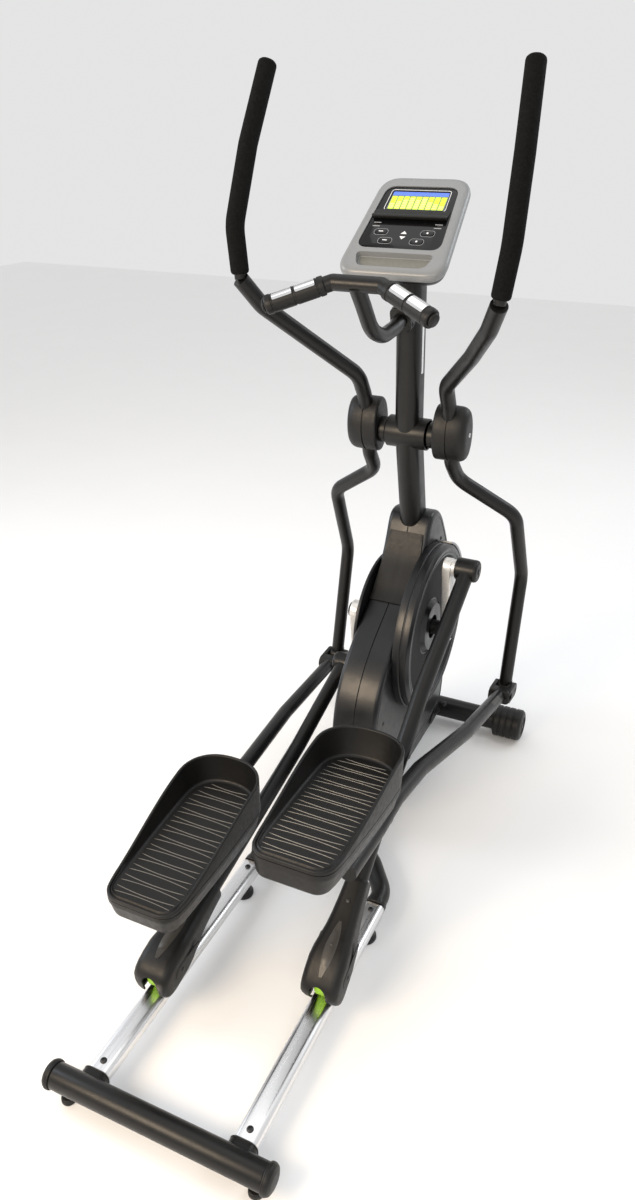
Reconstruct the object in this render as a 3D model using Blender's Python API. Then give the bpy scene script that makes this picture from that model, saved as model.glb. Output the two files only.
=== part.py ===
"""Elliptical trainer: floor frame, mast with console, two swing arms, pedal arms, roller links and crank.

Metres, +Z up, +X to the rider's right, +Y towards the console.
Points are written with y measured from the rear stabiliser's axis; the last step shifts every object so that
the origin is the middle of the footprint.
"""

import math

import bmesh
import bpy
from mathutils import Matrix, Vector

# driving dimensions
GAP = 0.0003
RAIL_X = 0.156
RAIL_TOP = 0.060
RAIL_W = 0.048
RAIL_H = 0.030
RAIL_Y = (0.0385, 0.624)
REAR_R = 0.0245
REAR_Z = 0.0565
REAR_HALF = 0.219
FRONT_Y = 1.440
FRONT_R = 0.030
FRONT_Z = 0.046
FRONT_HALF = 0.205
CAP_R = 0.0455
CAP_END = 0.288
HUB = (1.165, 0.970)
ARM_R = 0.0172
FOAM_R = 0.0188
PIVOT_R = 0.7561
LEAN = math.radians(0.96)
AXLE = (1.162, 0.476)
CRANK_R = 0.189
CRANK_ANGLE = math.radians(-7.63)
WHEEL_R = 0.0345
WHEEL_Z = RAIL_TOP + WHEEL_R + GAP
LINK_LEN = 0.9523
LINK_R = 0.0185
Q_S = 0.3336
Q_H = 0.0646
PEDAL_X = 0.1445
PEDAL_W = 0.0900
PEDAL_REAR = 1.122
PEDAL_FRONT = 0.7486
SHELL_X = 0.055
DISC_R = {"left": 0.170, "right": 0.213}
DISC_X = {"left": 0.0645, "right": 0.097}
WALL = 0.003
CONSOLE_C = (1.112, 1.418)
CONSOLE_TILT = math.radians(36.0)
RUN_GAP = 0.0001
PIN_R = 0.008
SIDES = (("left", -1.0), ("right", 1.0))

COLORS = {
    "frame_paint": ((0.030, 0.028, 0.027), 0.42, 0.35),
    "rail_metal": ((0.80, 0.80, 0.81), 0.32, 1.0),
    "crank_paint": ((0.62, 0.62, 0.62), 0.38, 0.6),
    "black_plastic": ((0.028, 0.027, 0.027), 0.48, 0.0),
    "shroud_plastic": ((0.030, 0.032, 0.037), 0.36, 0.0),
    "silver_plastic": ((0.52, 0.53, 0.54), 0.40, 0.2),
    "foam": ((0.030, 0.029, 0.028), 0.85, 0.0),
    "gloss_black": ((0.012, 0.013, 0.017), 0.12, 0.0),
    "screen": ((0.62, 0.80, 0.10), 0.30, 0.0),
    "roller": ((0.42, 0.68, 0.08), 0.45, 0.0),
    "steel": ((0.55, 0.55, 0.56), 0.35, 1.0),
    "belt": ((0.022, 0.022, 0.022), 0.80, 0.0),
}


def clear_scene():
    for obj in list(bpy.data.objects):
        bpy.data.objects.remove(obj, do_unlink=True)


def material(name):
    found = bpy.data.materials.get(name)
    if found:
        return found
    color, rough, metal = COLORS[name]
    mat = bpy.data.materials.new(name)
    mat.use_nodes = True
    bsdf = mat.node_tree.nodes["Principled BSDF"]
    bsdf.inputs["Base Color"].default_value = (*color, 1.0)
    bsdf.inputs["Roughness"].default_value = rough
    bsdf.inputs["Metallic"].default_value = metal
    return mat


# closed outlines
def ellipse(a, b, n=16, turn=0.0):
    return [(a * math.cos(2 * math.pi * i / n + turn), b * math.sin(2 * math.pi * i / n + turn))
            for i in range(n)]


def rounded(w, h, r, steps=2):
    points = []
    for k, (cx, cy) in enumerate(((1, 1), (-1, 1), (-1, -1), (1, -1))):
        for i in range(steps + 1):
            t = math.pi / 2 * (k + i / steps)
            points.append((cx * (w / 2 - r) + r * math.cos(t), cy * (h / 2 - r) + r * math.sin(t)))
    return points


def inset(outline, d):
    """Move each edge of a counter-clockwise outline inwards by d."""
    n = len(outline)
    result = []
    for i in range(n):
        p0, p1, p2 = (Vector(outline[(i + k) % n]) for k in (-1, 0, 1))
        e0 = (p1 - p0).normalized()
        e1 = (p2 - p1).normalized()
        n0 = Vector((-e0.y, e0.x))
        n1 = Vector((-e1.y, e1.x))
        mid = (n0 + n1).normalized()
        result.append(tuple(p1 + mid * d / max(0.35, mid.dot(n0))))
    return result


def smooth(outline, passes=1):
    for _ in range(passes):
        n = len(outline)
        finer = []
        for i in range(n):
            a, b = Vector(outline[i]), Vector(outline[(i + 1) % n])
            finer.append(tuple(a.lerp(b, 0.25)))
            finer.append(tuple(a.lerp(b, 0.75)))
        outline = finer
    return outline


def hull_outline(circles, n=20):
    """Outline around several circles (y, z, r), counter-clockwise."""
    points = []
    for cy, cz, r in circles:
        points += [(cy + r * math.cos(2 * math.pi * i / n), cz + r * math.sin(2 * math.pi * i / n))
                   for i in range(n)]
    points = sorted(set(points))
    chain = []
    for sweep in (points, points[::-1]):
        part = []
        for p in sweep:
            while len(part) > 1:
                (ax, ay), (bx, by) = part[-2], part[-1]
                if (bx - ax) * (p[1] - ay) - (by - ay) * (p[0] - ax) > 1e-12:
                    break
                part.pop()
            part.append(p)
        chain += part[:-1]
    return chain


# solids
def loft(loops, cap=True, closed=False):
    """Skin a list of equal-length 3-D loops."""
    bm = bmesh.new()
    rings = [[bm.verts.new(p) for p in loop] for loop in loops]
    count = len(rings[0])
    pairs = list(zip(rings[:-1], rings[1:]))
    if closed:
        pairs.append((rings[-1], rings[0]))
    for low, high in pairs:
        for i in range(count):
            j = (i + 1) % count
            bm.faces.new((low[i], low[j], high[j], high[i]))
    if cap and not closed:
        bm.faces.new(rings[0][::-1])
        bm.faces.new(rings[-1])
    bmesh.ops.recalc_face_normals(bm, faces=bm.faces)
    return bm


def plate(outline, x0, x1, chamfer=0.0):
    """Outline in (y, z) made solid from x0 to x1, with its edges eased."""
    if chamfer <= 0:
        return loft([[(x, y, z) for y, z in outline] for x in (x0, x1)])
    small = inset(outline, chamfer)
    c = math.copysign(chamfer, x1 - x0)
    loops = [(x0, small), (x0 + c, outline), (x1 - c, outline), (x1, small)]
    return loft([[(x, y, z) for y, z in shape] for x, shape in loops])


def box(x0, x1, y0, y1, z0, z1, r=0.003):
    shape = [(y + (y0 + y1) / 2, z + (z0 + z1) / 2) for y, z in rounded(y1 - y0, z1 - z0, r, 2)]
    return plate(shape, x0, x1, min(r, 0.3 * abs(x1 - x0)) * 0.6)


def turned(profile, center, n=32, phase=0.0):
    """Turn (x, r) points about the X line through center (y, z); a zero radius closes an end."""
    closed = profile[0][1] > 0 and profile[-1][1] > 0
    bm = bmesh.new()
    rings = []
    for x, r in profile:
        if r <= 0:
            rings.append([bm.verts.new((x, *center))])
        else:
            rings.append([bm.verts.new((x, center[0] + r * math.cos(2 * math.pi * i / n + phase),
                                        center[1] + r * math.sin(2 * math.pi * i / n + phase)))
                          for i in range(n)])
    pairs = list(zip(rings[:-1], rings[1:]))
    if closed:
        pairs.append((rings[-1], rings[0]))
    for a, b in pairs:
        for i in range(n):
            j = (i + 1) % n
            if len(a) == 1 and len(b) > 1:
                bm.faces.new((a[0], b[i], b[j]))
            elif len(b) == 1 and len(a) > 1:
                bm.faces.new((a[i], b[0], a[j]))
            elif len(a) > 1:
                bm.faces.new((a[i], b[i], b[j], a[j]))
    bmesh.ops.recalc_face_normals(bm, faces=bm.faces)
    return bm


def rod(x0, x1, center, r, n=20, ease=0.0008):
    return turned([(x0, 0), (x0, r - ease), (x0 + ease, r), (x1 - ease, r), (x1, r - ease), (x1, 0)],
                  center, n)


def rounded_path(points, radius, steps=5):
    """Replace each inner corner of a 3-D polyline by an arc."""
    points = [Vector(p) for p in points]
    path = [points[0]]
    for a, b, c in zip(points[:-2], points[1:-1], points[2:]):
        u = (a - b).normalized()
        v = (c - b).normalized()
        angle = u.angle(v)
        if angle > math.radians(178):
            path.append(b)
            continue
        reach = min(radius / math.tan(angle / 2), 0.48 * (a - b).length, 0.48 * (c - b).length)
        p0 = b + u * reach
        p1 = b + v * reach
        for i in range(steps + 1):
            t = i / steps
            path.append(p0 * (1 - t) ** 2 + b * 2 * t * (1 - t) + p1 * t ** 2)
    path.append(points[-1])
    return path


def sweep(path, shape, side=(1, 0, 0), ease=0.0):
    """Sweep an outline (along side, across side) down a path."""
    path = [Vector(p) for p in path]
    loops = []
    side = Vector(side)
    for i, p in enumerate(path):
        a = path[max(i - 1, 0)]
        b = path[min(i + 1, len(path) - 1)]
        t = (b - a).normalized()
        side = (side - t * side.dot(t)).normalized()
        up = t.cross(side)
        section = shape(i / (len(path) - 1)) if callable(shape) else shape
        loops.append([p + side * u + up * v for u, v in section])
    if ease > 0:
        for end, neighbour in ((0, 1), (-1, -2)):
            centre = path[end]
            inner = (path[neighbour] - centre).normalized()
            eased = [centre + (q - centre) * (1 - ease / (q - centre).length) for q in loops[end]]
            loops[end] = [q + inner * ease for q in loops[end]]
            if end == 0:
                loops.insert(0, eased)
            else:
                loops.append(eased)
    return loft(loops)


def tube(points, r, bend=0.06, n=10, steps=3):
    return sweep(rounded_path(points, bend, steps), ellipse(r, r, n), ease=min(0.002, r * 0.2))


def temporary(bm):
    mesh = bpy.data.meshes.new("work")
    bm.to_mesh(mesh)
    bm.free()
    obj = bpy.data.objects.new("work", mesh)
    bpy.context.scene.collection.objects.link(obj)
    return obj


def combine(base, steps):
    """Run exact booleans on solids: steps are (operation, solid) pairs."""
    target = temporary(base)
    helpers = []
    for operation, solid in steps:
        other = temporary(solid)
        other.hide_render = True
        other.display_type = "WIRE"
        helpers.append(other)
        mod = target.modifiers.new(operation.lower(), "BOOLEAN")
        mod.operation = operation
        mod.solver = "EXACT"
        mod.object = other
    bpy.context.view_layer.update()
    graph = bpy.context.evaluated_depsgraph_get()
    mesh = bpy.data.meshes.new_from_object(target.evaluated_get(graph))
    bm = bmesh.new()
    bm.from_mesh(mesh)
    for obj in [target] + helpers:
        data = obj.data
        bpy.data.objects.remove(obj, do_unlink=True)
        bpy.data.meshes.remove(data)
    bpy.data.meshes.remove(mesh)
    bmesh.ops.remove_doubles(bm, verts=bm.verts, dist=2e-6)
    bmesh.ops.dissolve_degenerate(bm, edges=bm.edges, dist=2e-6)
    return bm


def join_all(first, *others):
    return combine(first, [("UNION", other) for other in others])


def piece(name, bm, mat, pivot=(0, 0, 0), mirror=False):
    """Make one named object whose origin is its pivot."""
    if mirror:
        bmesh.ops.scale(bm, vec=(-1, 1, 1), verts=bm.verts)
        bmesh.ops.reverse_faces(bm, faces=bm.faces)
    bmesh.ops.translate(bm, vec=-Vector(pivot), verts=bm.verts)
    mesh = bpy.data.meshes.new(name)
    bm.to_mesh(mesh)
    bm.free()
    mesh.materials.append(material(mat))
    obj = bpy.data.objects.new(name, mesh)
    obj.location = pivot
    bpy.context.scene.collection.objects.link(obj)
    return obj


# where the moving pieces stand at rest
def swing_yz(sign, radius, angle_deg):
    angle = math.radians(angle_deg) + sign * LEAN
    return HUB[0] + radius * math.sin(angle), HUB[1] - radius * math.cos(angle)


def crank_pin(sign):
    angle = CRANK_ANGLE if sign > 0 else CRANK_ANGLE + math.pi
    return AXLE[0] + CRANK_R * math.sin(angle), AXLE[1] + CRANK_R * math.cos(angle)


def wheel_yz(sign):
    y, z = crank_pin(sign)
    return y - math.sqrt(LINK_LEN ** 2 - (z - WHEEL_Z) ** 2), WHEEL_Z


def link_frame(sign):
    wy, wz = wheel_yz(sign)
    py, pz = crank_pin(sign)
    u = Vector((py - wy, pz - wz)).normalized()
    return Vector((wy, wz)), u, Vector((-u.y, u.x))


def on_link(sign, s, h, x):
    w, u, n = link_frame(sign)
    p = w + u * s + n * h
    return x, p.x, p.y


def pedal_frame(sign):
    w, u, n = link_frame(sign)
    q = w + u * Q_S + n * Q_H
    p = Vector(swing_yz(sign, PIVOT_R, 11.9))
    e = (q - p).normalized()
    up = Vector((e.y, -e.x))
    if up.y < 0:
        up = -up
    return p, e, up, q


def on_bar(sign, a, h, x):
    p, e, up, _ = pedal_frame(sign)
    r = p + e * a + up * h
    return x, r.x, r.y


# floor frame
def build_floor_frame():
    beam = sweep([(0, 0.800, 0.062), (0, 0.90, 0.065), (0, 1.409, 0.065)], rounded(0.080, 0.056, 0.012))
    forks = []
    for _, s in SIDES:
        path = [(s * 0.156, 0.626, 0.046), (s * 0.156, 0.672, 0.048), (s * 0.105, 0.738, 0.056),
                (s * 0.020, 0.822, 0.062), (0, 0.880, 0.064)]
        forks.append(tube(path, 0.0215, 0.07))
    piece("main_frame", join_all(beam, *forks), "frame_paint")

    body = rod(-FRONT_HALF, FRONT_HALF, (FRONT_Y, FRONT_Z), FRONT_R, 20, 0.0015)
    stub = rod(-CAP_END + 0.022, CAP_END - 0.022, (FRONT_Y, FRONT_Z), 0.0120, 28, 0.001)
    piece("front_stabiliser", join_all(body, stub), "frame_paint")
    for name, s in SIDES:
        x0, x1 = FRONT_HALF + GAP, CAP_END
        profile = [(x0, 0.0120 + RUN_GAP), (x0, 0.040), (x0 + 0.004, CAP_R)]
        ribs = 2
        for i in range(ribs):
            a = x0 + 0.018 + i * 0.026
            profile += [(a, CAP_R), (a + 0.002, CAP_R - 0.0025), (a + 0.005, CAP_R)]
        profile += [(x1 - 0.008, CAP_R), (x1 - 0.002, CAP_R - 0.006), (x1, CAP_R - 0.014), (x1, 0.0)]
        hole = [(x1 - 0.020, 0.0), (x1 - 0.020, 0.0120 + RUN_GAP)]
        profile = profile + hole
        piece("transport_wheel_" + name, turned_blind(profile, (FRONT_Y, FRONT_Z)), "black_plastic",
              (s * (x0 + x1) / 2, FRONT_Y, FRONT_Z), s < 0)

    body = rod(-REAR_HALF, REAR_HALF, (0.0, REAR_Z), REAR_R, 20, 0.0015)
    sockets = []
    for _, s in SIDES:
        shape = rounded(0.054, 0.037, 0.015)
        sockets.append(sweep([(s * RAIL_X, 0.0, 0.047), (s * RAIL_X, 0.0374, 0.0455)], shape, ease=0.001))
    piece("rear_stabiliser", join_all(body, *sockets), "frame_paint")
    for name, s in SIDES:
        cap = turned([(0.2193, 0.0), (0.2193, 0.0270), (0.226, 0.0275), (0.233, 0.0245), (0.2365, 0.015),
                      (0.237, 0.0)], (0.0, REAR_Z), 20)
        piece("rear_end_cap_" + name, cap, "black_plastic", (s * 0.228, 0.0, REAR_Z), s < 0)
        foot = sweep([(0.198, 0.0, 0.0), (0.198, 0.0, 0.010), (0.198, 0.0, 0.0315)],
                     lambda t: ellipse(0.0145 - 0.004 * t, 0.0145 - 0.004 * t, 18))
        piece("rear_foot_" + name, foot, "black_plastic", (s * 0.198, 0.0, 0.0), s < 0)
        foot = sweep([(RAIL_X, 0.578, 0.0), (RAIL_X, 0.578, 0.012), (RAIL_X, 0.578, 0.0297)],
                     lambda t: ellipse(0.0235 - 0.006 * t, 0.020 - 0.004 * t, 18))
        piece("mid_foot_" + name, foot, "black_plastic", (s * RAIL_X, 0.578, 0.0), s < 0)
        shape = rounded(RAIL_W, RAIL_H, 0.0125, 3)
        z = RAIL_TOP - RAIL_H / 2
        rail = sweep([(RAIL_X, RAIL_Y[0], z), (RAIL_X, RAIL_Y[1], z)], shape, ease=0.0006)
        piece("rail_" + name, rail, "rail_metal", (s * RAIL_X, 0.0, z), s < 0)
        screw = bolt_head((RAIL_X, RAIL_Y[0] + 0.020, RAIL_TOP + GAP), 0.0065, 0.0035)
        piece("rail_screw_" + name, screw, "steel", (s * RAIL_X, RAIL_Y[0] + 0.020, RAIL_TOP), s < 0)


def turned_blind(profile, center, n=20):
    """A turned solid with a blind bore: profile runs bore mouth, outside, tip, then the bore's floor."""
    tip = next(i for i, p in enumerate(profile) if p[1] == 0.0)
    outside = profile[:tip + 1]
    bore = profile[tip + 1:]
    bm = turned([(outside[0][0] - 0.0, 0.0)] + outside, center, n)
    cutter = turned([(outside[0][0] - 0.01, 0.0), (outside[0][0] - 0.01, outside[0][1]),
                     (bore[0][0], outside[0][1]), (bore[0][0], 0.0)], center, 28)
    return combine(bm, [("DIFFERENCE", cutter)])


def bolt_head(base, r, h):
    x, y, z = base
    loops = []
    for dz, k in ((0.0, 1.0), (0.5 * h, 1.0), (0.9 * h, 0.8), (h, 0.45), (0.55 * h, 0.40)):
        loops.append([(x + r * k * math.cos(math.tau * i / 12), y + r * k * math.sin(math.tau * i / 12),
                       z + dz) for i in range(12)])
    return loft(loops)


# mast and covers
MAST_PATH = [(0, 1.3686, 0.1018), (0, 1.165, 0.970), (0, 1.143, 1.372)]


def mast_solid(grow=0.0):
    shape = rounded(0.056 + 2 * grow, 0.072 + 2 * grow, 0.024 + grow, 3)
    path = rounded_path(MAST_PATH, 0.6, 4)
    path[-1] = path[-1] + (path[-1] - path[-2]).normalized() * grow
    return sweep(path, shape)


def spine_outline():
    points = [(0.905, 0.104), (0.868, 0.150), (0.850, 0.230), (0.849, 0.310), (0.858, 0.362),
              (0.875, 0.410), (0.908, 0.458), (0.955, 0.500), (1.013, 0.536), (1.080, 0.574),
              (1.116, 0.616), (1.150, 0.655), (1.172, 0.697), (1.190, 0.742), (1.212, 0.760),
              (1.250, 0.757), (1.284, 0.735), (1.316, 0.690), (1.352, 0.630), (1.382, 0.550),
              (1.396, 0.450), (1.398, 0.340), (1.392, 0.240), (1.384, 0.160), (1.365, 0.104)]
    return smooth(points[::-1], 1)


def build_mast_and_shroud():
    hub = rod(-0.048, 0.048, HUB, 0.0355, 20, 0.002)
    pin = rod(-0.1265, 0.1265, HUB, 0.014, 24, 0.001)
    piece("mast", join_all(mast_solid(), hub, pin), "frame_paint")

    outline = spine_outline()
    outline = [p for p in outline]
    inner = inset(outline, WALL)
    narrow = inset(outline, 0.004)
    narrower = inset(outline, 0.011)
    for name, s in SIDES:
        edge = GAP / 2
        loops = [(edge, outline), (SHELL_X - 0.011, outline), (SHELL_X - 0.004, narrow), (SHELL_X, narrower)]
        outer = loft([[(x, y, z) for y, z in shape] for x, shape in loops])
        hollow = [(edge - 0.01, inner), (SHELL_X - 0.0115, inner), (SHELL_X - WALL, inset(inner, 0.010))]
        cut = loft([[(x, y, z) for y, z in shape] for x, shape in hollow])
        hole = rod(0.03, 0.08, AXLE, 0.030, 28)
        half = combine(outer, [("DIFFERENCE", cut), ("DIFFERENCE", hole), ("DIFFERENCE", mast_solid(0.0006))])
        piece("shroud_" + name, half, "shroud_plastic", (0, AXLE[0], AXLE[1]), s < 0)

        x0 = SHELL_X + GAP
        big, face = DISC_R[name], DISC_X[name]
        if s > 0:
            profile = [(x0, big - 0.014), (x0, big - 0.001), (face - 0.006, big), (face, big - 0.009),
                       (face - 0.002, big - 0.027), (face - 0.020, big - 0.036), (face - 0.022, 0.070),
                       (face - 0.012, 0.060), (face - 0.012, 0.030), (face - 0.020, 0.030),
                       (face - 0.026, 0.070), (face - 0.025, big - 0.030), (face - 0.010, big - 0.014)]
        else:
            profile = [(x0, 0.030), (x0, big - 0.001), (face - 0.003, big), (face, big - 0.006),
                       (face - 0.001, big - 0.022), (face - 0.005, big - 0.028), (face - 0.005, 0.060),
                       (face, 0.050), (face, 0.030)]
        piece("side_disc_" + name, turned(profile, AXLE, 28), "black_plastic", (s * x0, *AXLE), s < 0)

        x_in, x_out = x0 + 0.002, face - 0.0035
        loops = []
        for i in range(13):
            t = math.radians(-46 + 112 * i / 12)
            r0 = big + 0.0008
            r1 = r0 + 0.004 + 0.008 * math.sin(math.pi * i / 12)
            c, d = math.cos(t), math.sin(t)
            loops.append([(x, AXLE[0] + r * c, AXLE[1] + r * d)
                          for x, r in ((x_in, r0), (x_out, r0), (x_out - 0.001, r1), (x_in + 0.001, r1))])
        piece("side_trim_" + name, loft(loops), "silver_plastic", (s * x_in, *AXLE), s < 0)

    cap = spine_cap()
    piece("mast_cover", cap, "black_plastic", (0, 1.15, 0.70))


def spine_cap():
    """Saddle panel over the shroud's upper rear spine."""
    spine = sorted((p for p in spine_outline() if p[0] < 1.2 and 0.568 < p[1] < 0.722), key=lambda p: p[1])
    loops = []
    for i, (y, z) in enumerate(spine):
        w = 0.0515 - 0.0105 * max(0.0, (z - 0.57) / 0.16) ** 1.5
        a = Vector(spine[max(i - 1, 0)])
        b = Vector(spine[min(i + 1, len(spine) - 1)])
        t = (b - a).normalized()
        out = Vector((-t.y, t.x))
        lift = 0.0015
        thick = 0.0030
        section = []
        for k, h in ((1.0, lift), (0.5, lift), (0.0, lift), (-0.5, lift), (-1.0, lift),
                     (-0.97, lift + thick * 0.7), (-0.5, lift + thick), (0.0, lift + thick * 1.1),
                     (0.5, lift + thick), (0.97, lift + thick * 0.7)):
            section.append((w * k, y + out.x * h, z + out.y * h))
        loops.append(section)
    return loft(loops)


# console, handlebar
def console_point(x, s, h):
    c, d = math.cos(CONSOLE_TILT), math.sin(CONSOLE_TILT)
    return x, CONSOLE_C[0] + s * c - h * d, CONSOLE_C[1] + s * d + h * c


def console_outline(top, bottom, low, high, r, steps=4):
    """Rounded trapezoid in the console's plane: (x, s), counter-clockwise from the upper right."""
    corners = [Vector((top, high)), Vector((-top, high)), Vector((-bottom, low)), Vector((bottom, low))]
    points = []
    for i in range(4):
        a, b, c = corners[i - 1], corners[i], corners[(i + 1) % 4]
        u = (a - b).normalized()
        v = (c - b).normalized()
        p0 = b + u * r
        p1 = b + v * r
        for k in range(steps + 1):
            t = k / steps
            points.append(tuple(p0 * (1 - t) ** 2 + b * 2 * t * (1 - t) + p1 * t ** 2))
    return points


def console_slab(outline, levels):
    """Stack (height, inset) levels of an outline in the console's plane."""
    return loft([[console_point(x, s, h) for x, s in (inset(outline, d) if d else outline)]
                 for h, d in levels])


def build_console():
    rim = console_outline(0.098, 0.116, -0.140, 0.138, 0.045)
    panel = console_outline(0.078, 0.090, -0.072, 0.106, 0.024)
    tray = console_outline(0.084, 0.072, -0.122, -0.084, 0.014)
    bezel = console_slab(rim, ((-0.016, 0.004), (-0.010, 0.0), (0.000, 0.002), (0.006, 0.012)))
    cut = console_slab(inset(panel, -GAP), ((-0.004, 0.0), (0.02, 0.0)))
    scoop = console_slab(tray, ((-0.006, 0.004), (0.02, 0.0)))
    piece("console_bezel", combine(bezel, [("DIFFERENCE", cut), ("DIFFERENCE", scoop)]), "silver_plastic",
          console_point(0, 0, 0))
    glass = console_slab(panel, ((-0.0037, 0.0), (0.0035, 0.0), (0.0045, 0.001)))
    window = console_outline(0.062, 0.064, 0.040, 0.094, 0.004, 2)
    hole = console_slab(window, ((0.0005, 0.0), (0.02, 0.0)))
    keys = key_centres()
    holes = [console_slab(key_shape(cx, cs, 0.0004), ((-0.0005, 0.0), (0.02, 0.0))) for cx, cs in keys]
    piece("console_panel", combine(glass, [("DIFFERENCE", h) for h in [hole] + holes]), "gloss_black",
          console_point(0, 0, 0.004))
    screen = console_slab(inset(window, 0.0004), ((0.0008, 0.0), (0.0030, 0.0)))
    piece("console_screen", screen, "screen", console_point(0, 0.067, 0.002))
    for i, (cx, cs) in enumerate(keys):
        key = console_slab(key_shape(cx, cs, 0.0), ((0.0012, 0.0), (0.0052, 0.0), (0.0060, 0.0006)))
        piece("console_key_%d" % (i + 1), key, "gloss_black", console_point(cx, cs, 0.004))
    ledge = loft([[console_point(x, s, h) for s, h in
                   ((0.036, 0.0050), (0.014, 0.0050), (0.008, 0.0065), (0.006, 0.0150), (0.010, 0.0165),
                    (0.014, 0.0155), (0.018, 0.0085), (0.036, 0.0070))] for x in (-0.080, 0.080)])
    piece("console_ledge", ledge, "black_plastic", console_point(0, 0.012, 0.01))
    back = [(-0.070, 0.50, 0.46), (-0.060, 0.70, 0.68), (-0.038, 0.88, 0.88), (-0.0163, 0.955, 0.965)]
    shell = loft([[console_point(x * kx, (t + 0.002) * ks, h) for x, t in rim] for h, kx, ks in back])
    piece("console_back", combine(shell, [("DIFFERENCE", mast_solid(0.0004))]), "black_plastic",
          console_point(0, 0, -0.04))


def key_centres():
    return [(-0.050, -0.026), (0.050, -0.026), (-0.034, -0.050), (0.034, -0.050)]


def key_shape(cx, cs, grow):
    return [(cx + u, cs + v) for u, v in rounded(0.026 + 2 * grow, 0.013 + 2 * grow, 0.005 + grow, 2)]


def build_handlebar():
    bar = tube([(-0.170, 0.800, 0.0 + 1.297), (-0.049, 0.851, 1.341), (0.049, 0.851, 1.341),
                (0.170, 0.800, 1.297)], 0.0125, 0.045)
    neck = tube([(0, 0.840, 1.340), (0, 0.885, 1.300), (0, 0.925, 1.245), (0, 0.985, 1.222),
                 (0, 1.050, 1.226), (0, 1.118, 1.245)], 0.0150, 0.06, 10, 2)
    flange = sweep([(0, 1.082, 1.235), (0, 1.1120, 1.2435)], rounded(0.046, 0.052, 0.012), ease=0.001)
    d = (Vector((0.170, 0.800, 1.297)) - Vector((0.049, 0.851, 1.341))).normalized() * 0.0145
    middle = tube([(-0.049 - d.x, 0.851 + d.y, 1.341 + d.z), (-0.049, 0.851, 1.341), (0.049, 0.851, 1.341),
                   (0.049 + d.x, 0.851 + d.y, 1.341 + d.z)], 0.0155, 0.012)
    whole = combine(bar, [("UNION", middle), ("UNION", neck), ("UNION", flange),
                          ("DIFFERENCE", mast_solid(GAP))])
    piece("handlebar", whole, "frame_paint")
    for name, s in SIDES:
        a = Vector((0.049, 0.851, 1.341))
        b = Vector((0.170, 0.800, 1.297))
        d = (b - a).normalized()
        start = a + d * 0.016
        end = a + d * 0.1335
        solid = sweep([start, start + d * 0.003, end - d * 0.004, end], ellipse(0.0185, 0.0185, 16), ease=0.002)
        bore = sweep([a, b + d * 0.02], ellipse(0.0128, 0.0128, 16))
        grip = combine(solid, [("DIFFERENCE", bore)])
        piece("pulse_grip_" + name, grip, "black_plastic", (s * start.x, start.y, start.z), s < 0)


# crank, pulley and flywheel inside the shroud
FLY = (1.075, 0.232)
PULLEY_R = 0.110
SMALL_R = 0.022


def build_drive():
    shaft = rod(-0.1127, 0.1127, AXLE, 0.0125, 24)
    piece("crank_axle", shaft, "steel", (0, *AXLE))
    pulley = turned([(0.036, 0.0128), (0.036, 0.030), (0.039, 0.034), (0.039, PULLEY_R - 0.017),
                     (0.036, PULLEY_R - 0.013), (0.036, PULLEY_R + 0.002), (0.038, PULLEY_R),
                     (0.046, PULLEY_R), (0.048, PULLEY_R + 0.002),
                     (0.048, PULLEY_R - 0.013), (0.048, 0.0128)],
                    AXLE, 26)
    piece("drive_pulley", pulley, "black_plastic", (0.042, *AXLE))
    wheel = turned([(-0.046, 0.0), (-0.042, 0.014), (-0.042, 0.070), (-0.046, 0.074), (-0.046, 0.100),
                    (-0.022, 0.100), (-0.022, 0.074), (-0.026, 0.014), (0.036, 0.010),
                    (0.036, SMALL_R + 0.002), (0.038, SMALL_R), (0.046, SMALL_R), (0.048, SMALL_R + 0.002),
                    (0.048, 0.0)], FLY, 24)
    piece("flywheel", wheel, "steel", (0, *FLY))
    outer = hull_outline([(*AXLE, PULLEY_R + 0.0028), (*FLY, SMALL_R + 0.0028)], 36)
    inner = hull_outline([(*AXLE, PULLEY_R + 0.0008), (*FLY, SMALL_R + 0.0006)], 36)
    belt = combine(plate(outer, 0.0385, 0.0455), [("DIFFERENCE", plate(inner, 0.03, 0.05))])
    piece("drive_belt", belt, "belt", (0.042, *AXLE))
    for name, s in SIDES:
        pin = crank_pin(s)
        d = (Vector(pin) - Vector(AXLE)).normalized()
        top = Vector(pin)
        base = Vector(AXLE)
        shape = hull_outline([(*base, 0.027), (*(base + d * 0.10), 0.0235), (*top, 0.0215)], 18)
        arm = plate(shape, 0.113, 0.135, 0.0025)
        boss = rod(0.130, 0.1432, pin, 0.0195, 20, 0.001)
        nut = rod(0.130, 0.1420, AXLE, 0.0190, 20, 0.002)
        piece("crank_arm_" + name, join_all(arm, boss, nut), "crank_paint", (s * 0.124, *AXLE), s < 0)


# swing arms, pedal arms, links
def swing_path(sign, table):
    return [(x, *swing_yz(sign, r, a)) for x, r, a in table]


UPPER = [(0.1000, 0.000, 0.0), (0.1010, 0.090, 200.0), (0.1030, 0.1480, 205.0), (0.1827, 0.2770, 215.5),
         (0.2385, 0.3900, 219.8), (0.2640, 0.4560, 219.2), (0.2770, 0.5330, 212.0), (0.2720, 0.6350, 201.0),
         (0.2620, 0.7400, 192.9)]
LOWER = [(0.1000, 0.000, 0.0), (0.1020, 0.060, 8.0), (0.1060, 0.1345, 26.9), (0.2385, 0.2484, 29.3),
         (0.2460, 0.4808, 27.8), (0.2460, PIVOT_R - 0.012, 12.2)]


def swing_tubes(sign, grow=0.0, parts=("upper", "lower")):
    upper = swing_path(sign, UPPER)
    lower = swing_path(sign, LOWER)
    made = []
    if "upper" in parts:
        made.append(tube(upper[:6], ARM_R + grow, 0.08, 10, 3))
    if "lower" in parts:
        made.append(tube(lower, ARM_R + grow, 0.07, 10, 2))
    return made


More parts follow.
